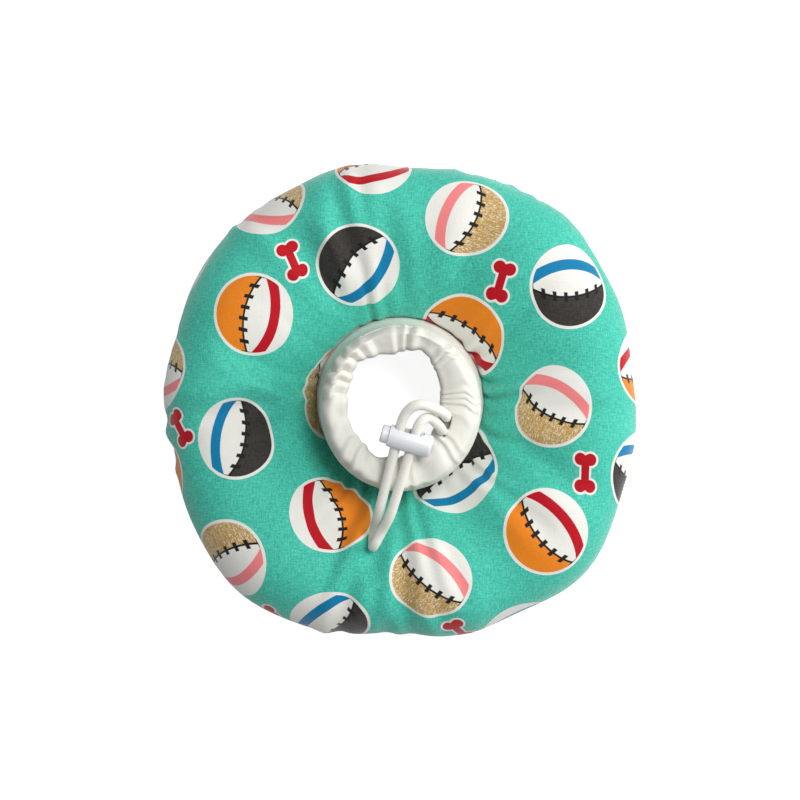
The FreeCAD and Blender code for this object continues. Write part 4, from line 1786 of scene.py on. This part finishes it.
@dataclass
class Drawcord:
    """The braided cord: its run inside the hem, and the free loop that the lock slides on.

    The route and the heights beside it are in millimetres.
    """

    yarn: bpy.types.Material
    diameter: float = 5.6 * MM
    carriers: int = 8
    lay_length: float = 15.0 * MM
    relief: float = 0.16 * MM
    step: float = 0.5 * MM
    around: int = 56
    yarn_roundness: float = 1.5
    flatness: float = 0.02
    flat_turn: float = 0.6
    exit_height: float = 79.2
    rise_from_hem: float = 1.5
    turn_in_hem: float = 0.12
    hem_points: int = 26
    route: tuple[Point, ...] = (
        (25.3, -8.6, 90.5),
        (19.5, -4.6, 98.3),
        (9.4, -1.6, 102.0),
        (2.1, -7.1, 98.3),
        (-1.1, -19.7, 93.1),
        (-8.2, -47.8, 81.5),
        (-11.6, -61.4, 75.9),
        (-14.2, -70.0, 57.0),
        (-14.9, -79.9, 53.8),
        (-14.6, -80.6, 64.4),
        (-9.8, -71.0, 67.2),
        (-5.4, -63.2, 75.9),
        (-2.4, -53.4, 80.0),
        (8.0, -19.2, 94.2),
        (10.2, -12.0, 97.2),
        (15.4, -8.2, 95.2),
        (22.0, -14.8, 88.0),
    )
    exits: list[Point] = field(init=False)

    def smooth_line(self, points: list[Point]) -> np.ndarray:
        """Draws the smooth line that a cord takes along its route.

        Args:
            points: the route, in millimetres.

        Returns:
            Points of the line, with even steps.
        """
        curve = bpy.data.curves.new("route", "CURVE")
        curve.dimensions = "3D"
        curve.resolution_u = 32
        spline = curve.splines.new("NURBS")
        spline.points.add(len(points) - 1)
        for place, point in zip(spline.points, points):
            place.co = (point[0] * MM, point[1] * MM, point[2] * MM, 1)
        spline.order_u = 3
        spline.use_endpoint_u = True
        bare = bpy.data.objects.new("route", curve)
        mesh = bpy.data.meshes.new_from_object(bare)
        line = coordinates(mesh)
        bpy.data.meshes.remove(mesh)
        bpy.data.curves.remove(curve)
        return evenly_spaced(line, self.step)[0]

    def braid(self, name: str, line: np.ndarray) -> bpy.types.Object:
        """Braids a cord along a line, with its yarns crossing over and under.

        Args:
            name: the piece's name.
            line: points down its middle.

        Returns:
            The bare piece.
        """
        turns = np.arange(self.around) * (2 * math.pi / self.around)
        along = np.arange(len(line))[:, None] * self.step * (2 * math.pi / self.lay_length)
        half = self.carriers / 2
        right = np.abs(np.cos(half * (turns + along)))
        left = np.abs(np.cos(half * (turns - along)))
        over = np.maximum(right, left) ** self.yarn_roundness
        soft = 1 + self.flatness * np.cos(2 * turns + self.flat_turn)
        return tube(name, line, (self.diameter / 2 - self.relief + self.relief * over) * soft, turns)

    def build(self, sleeve: NeckSleeve) -> None:
        """Makes the free loop and the run in the hem.

        Args:
            sleeve: the sleeve whose hem it runs in.
        """
        self.exits = sleeve.exits(self.exit_height)
        line = self.smooth_line([self.exits[0], *self.route, self.exits[1]])
        loop = self.braid("drawcord_free_loop", line)
        wear(loop, self.yarn, COLLAR)
        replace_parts(loop, "drawcord_loop")
        way_out = tuple(v * MM for v in self.exits[0])
        self.thread_hem(sleeve)

    def thread_hem(self, sleeve: NeckSleeve) -> None:
        """Makes the run of the cord inside the hem, and bends its ends up to the exits.

        Args:
            sleeve: the sleeve whose hem it runs in.
        """
        first, second = self.exits
        start, end = (math.atan2(p[1], p[0]) for p in (first, second))
        ends = (start + self.turn_in_hem, end + 2 * math.pi - self.turn_in_hem)
        sweep = np.linspace(*ends, self.hem_points)
        radii = np.interp(sweep % (2 * math.pi), sleeve.angles, sleeve.cord_r) / MM
        level = sleeve.cord_z / MM
        hidden = [(r * math.cos(a), r * math.sin(a), level) for r, a in zip(radii, sweep)]
        rise = [(p[0], p[1], level + self.rise_from_hem) for p in (first, second)]
        line = self.smooth_line([first, rise[0], *hidden, rise[1], second])
        run = self.braid("drawcord_in_hem", line)
        wear(run, self.yarn, COLLAR)
        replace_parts(run, "drawcord_in_casing")


# ---- cord lock -------------------------------------------------------------------------------------
@dataclass
class CordLock:
    """The spring lock: its two mouldings as they are, and a coil of wire between them."""

    plastic: bpy.types.Material
    wire: bpy.types.Material
    wire_d: float = 0.6 * MM
    coil_r: float = 3.6 * MM
    turns: float = 3.5
    points_per_turn: int = 28
    sides: int = 12
    closed_end: float = 0.12
    room: float = 4.0 * MM
    travel: float = 2.2 * MM

    def build(self, frame: dict) -> None:
        """Dresses the mouldings and winds the spring.

        Args:
            frame: the part's nodes and joints.
        """
        for node in ("lock_barrel", "lock_plunger"):
            moulding = frame["nodes"][node]
            moulding.data.materials.clear()
            moulding.data.materials.append(self.plastic)
            LOG.info("%s: %d faces, %s", moulding.name, len(moulding.data.polygons), self.plastic.name)
        press = next(j for j in frame["joints"] if j["name"] == "button_press")
        axis = Vector(press["axis"]).normalized()
        low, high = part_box("lock_spring")
        middle = (low + high) / 2
        side = axis.orthogonal().normalized()
        other = axis.cross(side)
        turn = np.linspace(0, 2 * math.pi * self.turns, int(self.turns * self.points_per_turn))
        share = turn / turn[-1]
        opened = np.clip((share - self.closed_end) / (1 - 2 * self.closed_end), 0, 1)
        rise = (self.closed_end * share + (1 - self.closed_end) * opened - 0.5) * (self.room - self.wire_d)
        ring = np.outer(np.cos(turn), np.array(side)) + np.outer(np.sin(turn), np.array(other))
        line = np.array(middle)[None, :] + np.outer(rise, np.array(axis)) + self.coil_r * ring
        around = np.arange(self.sides) * (2 * math.pi / self.sides)
        coil = tube("lock_spring_coil", line, np.full((len(line), self.sides), self.wire_d / 2), around)
        wear(coil, self.wire, LOCK)
        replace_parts(coil, "lock_spring")
        seat = middle + axis * (self.room / 2)
        keep = (self.room - self.travel) / self.room
        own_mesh(coil)


# ---- stitching -------------------------------------------------------------------------------------
@dataclass
class Stitching:
    """Rows of thread stitches, laid along a line by Geometry Nodes."""

    thread: bpy.types.Material
    pitch: float = 3.2 * MM
    stitch: float = 2.5 * MM
    thickness: float = 0.6 * MM
    unevenness: float = 0.12
    tree: bpy.types.NodeTree = field(init=False)

    def __post_init__(self) -> None:
        """Builds the node tree that all rows share."""
        self.tree = bpy.data.node_groups.new("stitch_row", "GeometryNodeTree")
        sockets = {
            "Line": "Geometry",
            "Pitch": "Float",
            "Stitch Length": "Float",
            "Thread Thickness": "Float",
            "Unevenness": "Float",
            "Seed": "Int",
            "Thread": "Material",
        }
        for name, kind in sockets.items():
            self.tree.interface.new_socket(name, in_out="INPUT", socket_type="NodeSocket" + kind)
        self.tree.interface.new_socket("Stitches", in_out="OUTPUT", socket_type="NodeSocketGeometry")
        make = self.tree.nodes.new
        given, result = make("NodeGroupInput").outputs, make("NodeGroupOutput")
        curve, spaced = make("GeometryNodeMeshToCurve"), make("GeometryNodeResampleCurve")
        spaced.mode = "LENGTH"
        tangent, aim = make("GeometryNodeInputTangent"), make("FunctionNodeAlignRotationToVector")
        aim.axis = "X"
        bead, size = make("GeometryNodeMeshUVSphere"), make("ShaderNodeCombineXYZ")
        bead.inputs["Segments"].default_value = 8
        bead.inputs["Rings"].default_value = 6
        bead.inputs["Radius"].default_value = 0.5
        one_less, one_more, longer = (make("ShaderNodeMath") for _ in range(3))
        one_less.operation, one_more.operation, longer.operation = "SUBTRACT", "ADD", "MULTIPLY"
        one_less.inputs[0].default_value = one_more.inputs[0].default_value = 1.0
        uneven = make("FunctionNodeRandomValue")
        least, most = (s for s in uneven.inputs if s.type == "VALUE" and s.enabled)
        drawn = next(s for s in uneven.outputs if s.type == "VALUE" and s.enabled)
        lay, real = make("GeometryNodeInstanceOnPoints"), make("GeometryNodeRealizeInstances")
        dress = make("GeometryNodeSetMaterial")
        for source, target in (
            (given["Line"], curve.inputs[0]),
            (curve.outputs[0], spaced.inputs["Curve"]),
            (given["Pitch"], spaced.inputs["Length"]),
            (tangent.outputs[0], aim.inputs["Vector"]),
            (given["Unevenness"], one_less.inputs[1]),
            (given["Unevenness"], one_more.inputs[1]),
            (one_less.outputs[0], least),
            (one_more.outputs[0], most),
            (given["Seed"], uneven.inputs["Seed"]),
            (given["Stitch Length"], longer.inputs[0]),
            (drawn, longer.inputs[1]),
            (longer.outputs[0], size.inputs["X"]),
            (given["Thread Thickness"], size.inputs["Y"]),
            (given["Thread Thickness"], size.inputs["Z"]),
            (spaced.outputs["Curve"], lay.inputs["Points"]),
            (bead.outputs["Mesh"], lay.inputs["Instance"]),
            (aim.outputs[0], lay.inputs["Rotation"]),
            (size.outputs[0], lay.inputs["Scale"]),
            (lay.outputs[0], real.inputs[0]),
            (real.outputs[0], dress.inputs["Geometry"]),
            (given["Thread"], dress.inputs["Material"]),
            (dress.outputs[0], result.inputs[0]),
        ):
            self.tree.links.new(source, target)

    def row(self, name: str, line: np.ndarray, body: str, seed: int = 1) -> bpy.types.Object:
        """Sews one row of stitches that comes back to its start.

        Args:
            name: the piece's name.
            line: points along the row.
            body: the body that the cloth rides on.
            seed: picks how uneven each stitch is.

        Returns:
            The finished piece.
        """
        edges = [(i, (i + 1) % len(line)) for i in range(len(line))]
        mesh = bpy.data.meshes.new(name)
        mesh.from_pydata(line.tolist(), edges, [])
        piece = new_object(name, mesh)
        sewing = piece.modifiers.new("stitches", "NODES")
        sewing.node_group = self.tree
        values = {
            "Pitch": self.pitch,
            "Stitch Length": self.stitch,
            "Thread Thickness": self.thickness,
            "Unevenness": self.unevenness,
            "Seed": seed,
            "Thread": self.thread,
        }
        for socket in self.tree.interface.items_tree:
            if socket.name in values:
                sewing[socket.identifier] = values[socket.name]
        finished(piece)
        piece.data.shade_smooth()
        return wear(piece, self.thread, body)


# ---- studio ----------------------------------------------------------------------------------------
@dataclass
class Studio:
    """Camera, lamps and floor."""

    camera_height: float = 1.43
    lens: float = 112.7
    sensor: float = 36.0
    clip: tuple[float, float] = (0.05, 20.0)
    lamp_colour: Colour = (1.0, 0.99, 0.97)
    lamp_aim: Point = (0, 0, 0.04)
    key_at: Point = (0.44, 0.36, 1.43)
    key_size: float = 0.5
    key_watts: float = 14.4
    side_at: Point = (1.3, 0.3, 0.6)
    side_size: float = 1.0
    side_watts: float = 12.0
    world_colour: tuple[float, float, float, float] = (0.96, 0.98, 1.0, 1)
    world_strength: float = 0.27
    floor_size: float = 6.0
    floor_z: float = -0.2 * MM

    def set_camera(self) -> None:
        """Looks straight down on the collar."""
        data = bpy.data.cameras.new("camera")
        data.lens = self.lens
        data.sensor_width = self.sensor
        data.clip_start, data.clip_end = self.clip
        camera = bpy.data.objects.new("camera", data)
        camera.location = (0, 0, self.camera_height)
        bpy.context.scene.collection.objects.link(camera)
        bpy.context.scene.camera = camera

    def add_lamp(self, name: str, place: Point, size: float, watts: float) -> None:
        """Hangs a square soft lamp that faces the collar.

        Args:
            name: the lamp's name.
            place: where it hangs.
            size: how wide it is.
            watts: how bright it is.
        """
        data = bpy.data.lights.new(name, "AREA")
        data.shape = "SQUARE"
        data.size = size
        data.energy = watts
        data.color = self.lamp_colour
        lamp = bpy.data.objects.new(name, data)
        lamp.location = place
        lamp.rotation_euler = (Vector(self.lamp_aim) - Vector(place)).to_track_quat("-Z", "Y").to_euler()
        bpy.context.scene.collection.objects.link(lamp)

    def light(self) -> None:
        """A high key lamp on the right, a low one below it and a plain world."""
        self.add_lamp("key", self.key_at, self.key_size, self.key_watts)
        self.add_lamp("side", self.side_at, self.side_size, self.side_watts)
        world = bpy.data.worlds.new("studio")
        world.use_nodes = True
        background = world.node_tree.nodes["Background"]
        background.inputs["Color"].default_value = self.world_colour
        background.inputs["Strength"].default_value = self.world_strength
        bpy.context.scene.world = world
        bpy.context.scene.view_settings.view_transform = "Standard"

    def lay_floor(self) -> None:
        """A large pale floor just under the collar."""
        half, low = self.floor_size / 2, self.floor_z
        corners = [(-half, -half, low), (half, -half, low), (half, half, low), (-half, half, low)]
        mesh = bpy.data.meshes.new("floor")
        mesh.from_pydata(corners, [], [(0, 1, 2, 3)])
        mesh.materials.append(FloorFinish().material())
        floor = new_object("floor", mesh)


def main() -> None:
    """Builds the collar's pieces in order and sets them in the studio."""
    logging.basicConfig(level=logging.INFO, format="%(name)s: %(message)s")
    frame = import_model()
    studio = Studio()
    studio.set_camera()
    yarn = WhiteYarn().material()
    sleeve = NeckSleeve(WhiteCotton().material())
    Drawcord(yarn).build(sleeve)
    hem_line = sleeve.build()
    CordLock(MouldedPlastic().material(), SpringSteel().material()).build(frame)
    Stitching(WhiteYarn(name="sewing_thread", grain=2600.0).material()).row("hem_stitches", hem_line, COLLAR)
    PaddedRing(PrintedCotton().material(), CardedFibre().material()).build()
    studio.light()
    studio.lay_floor()


if __name__ == "__main__":
    main()
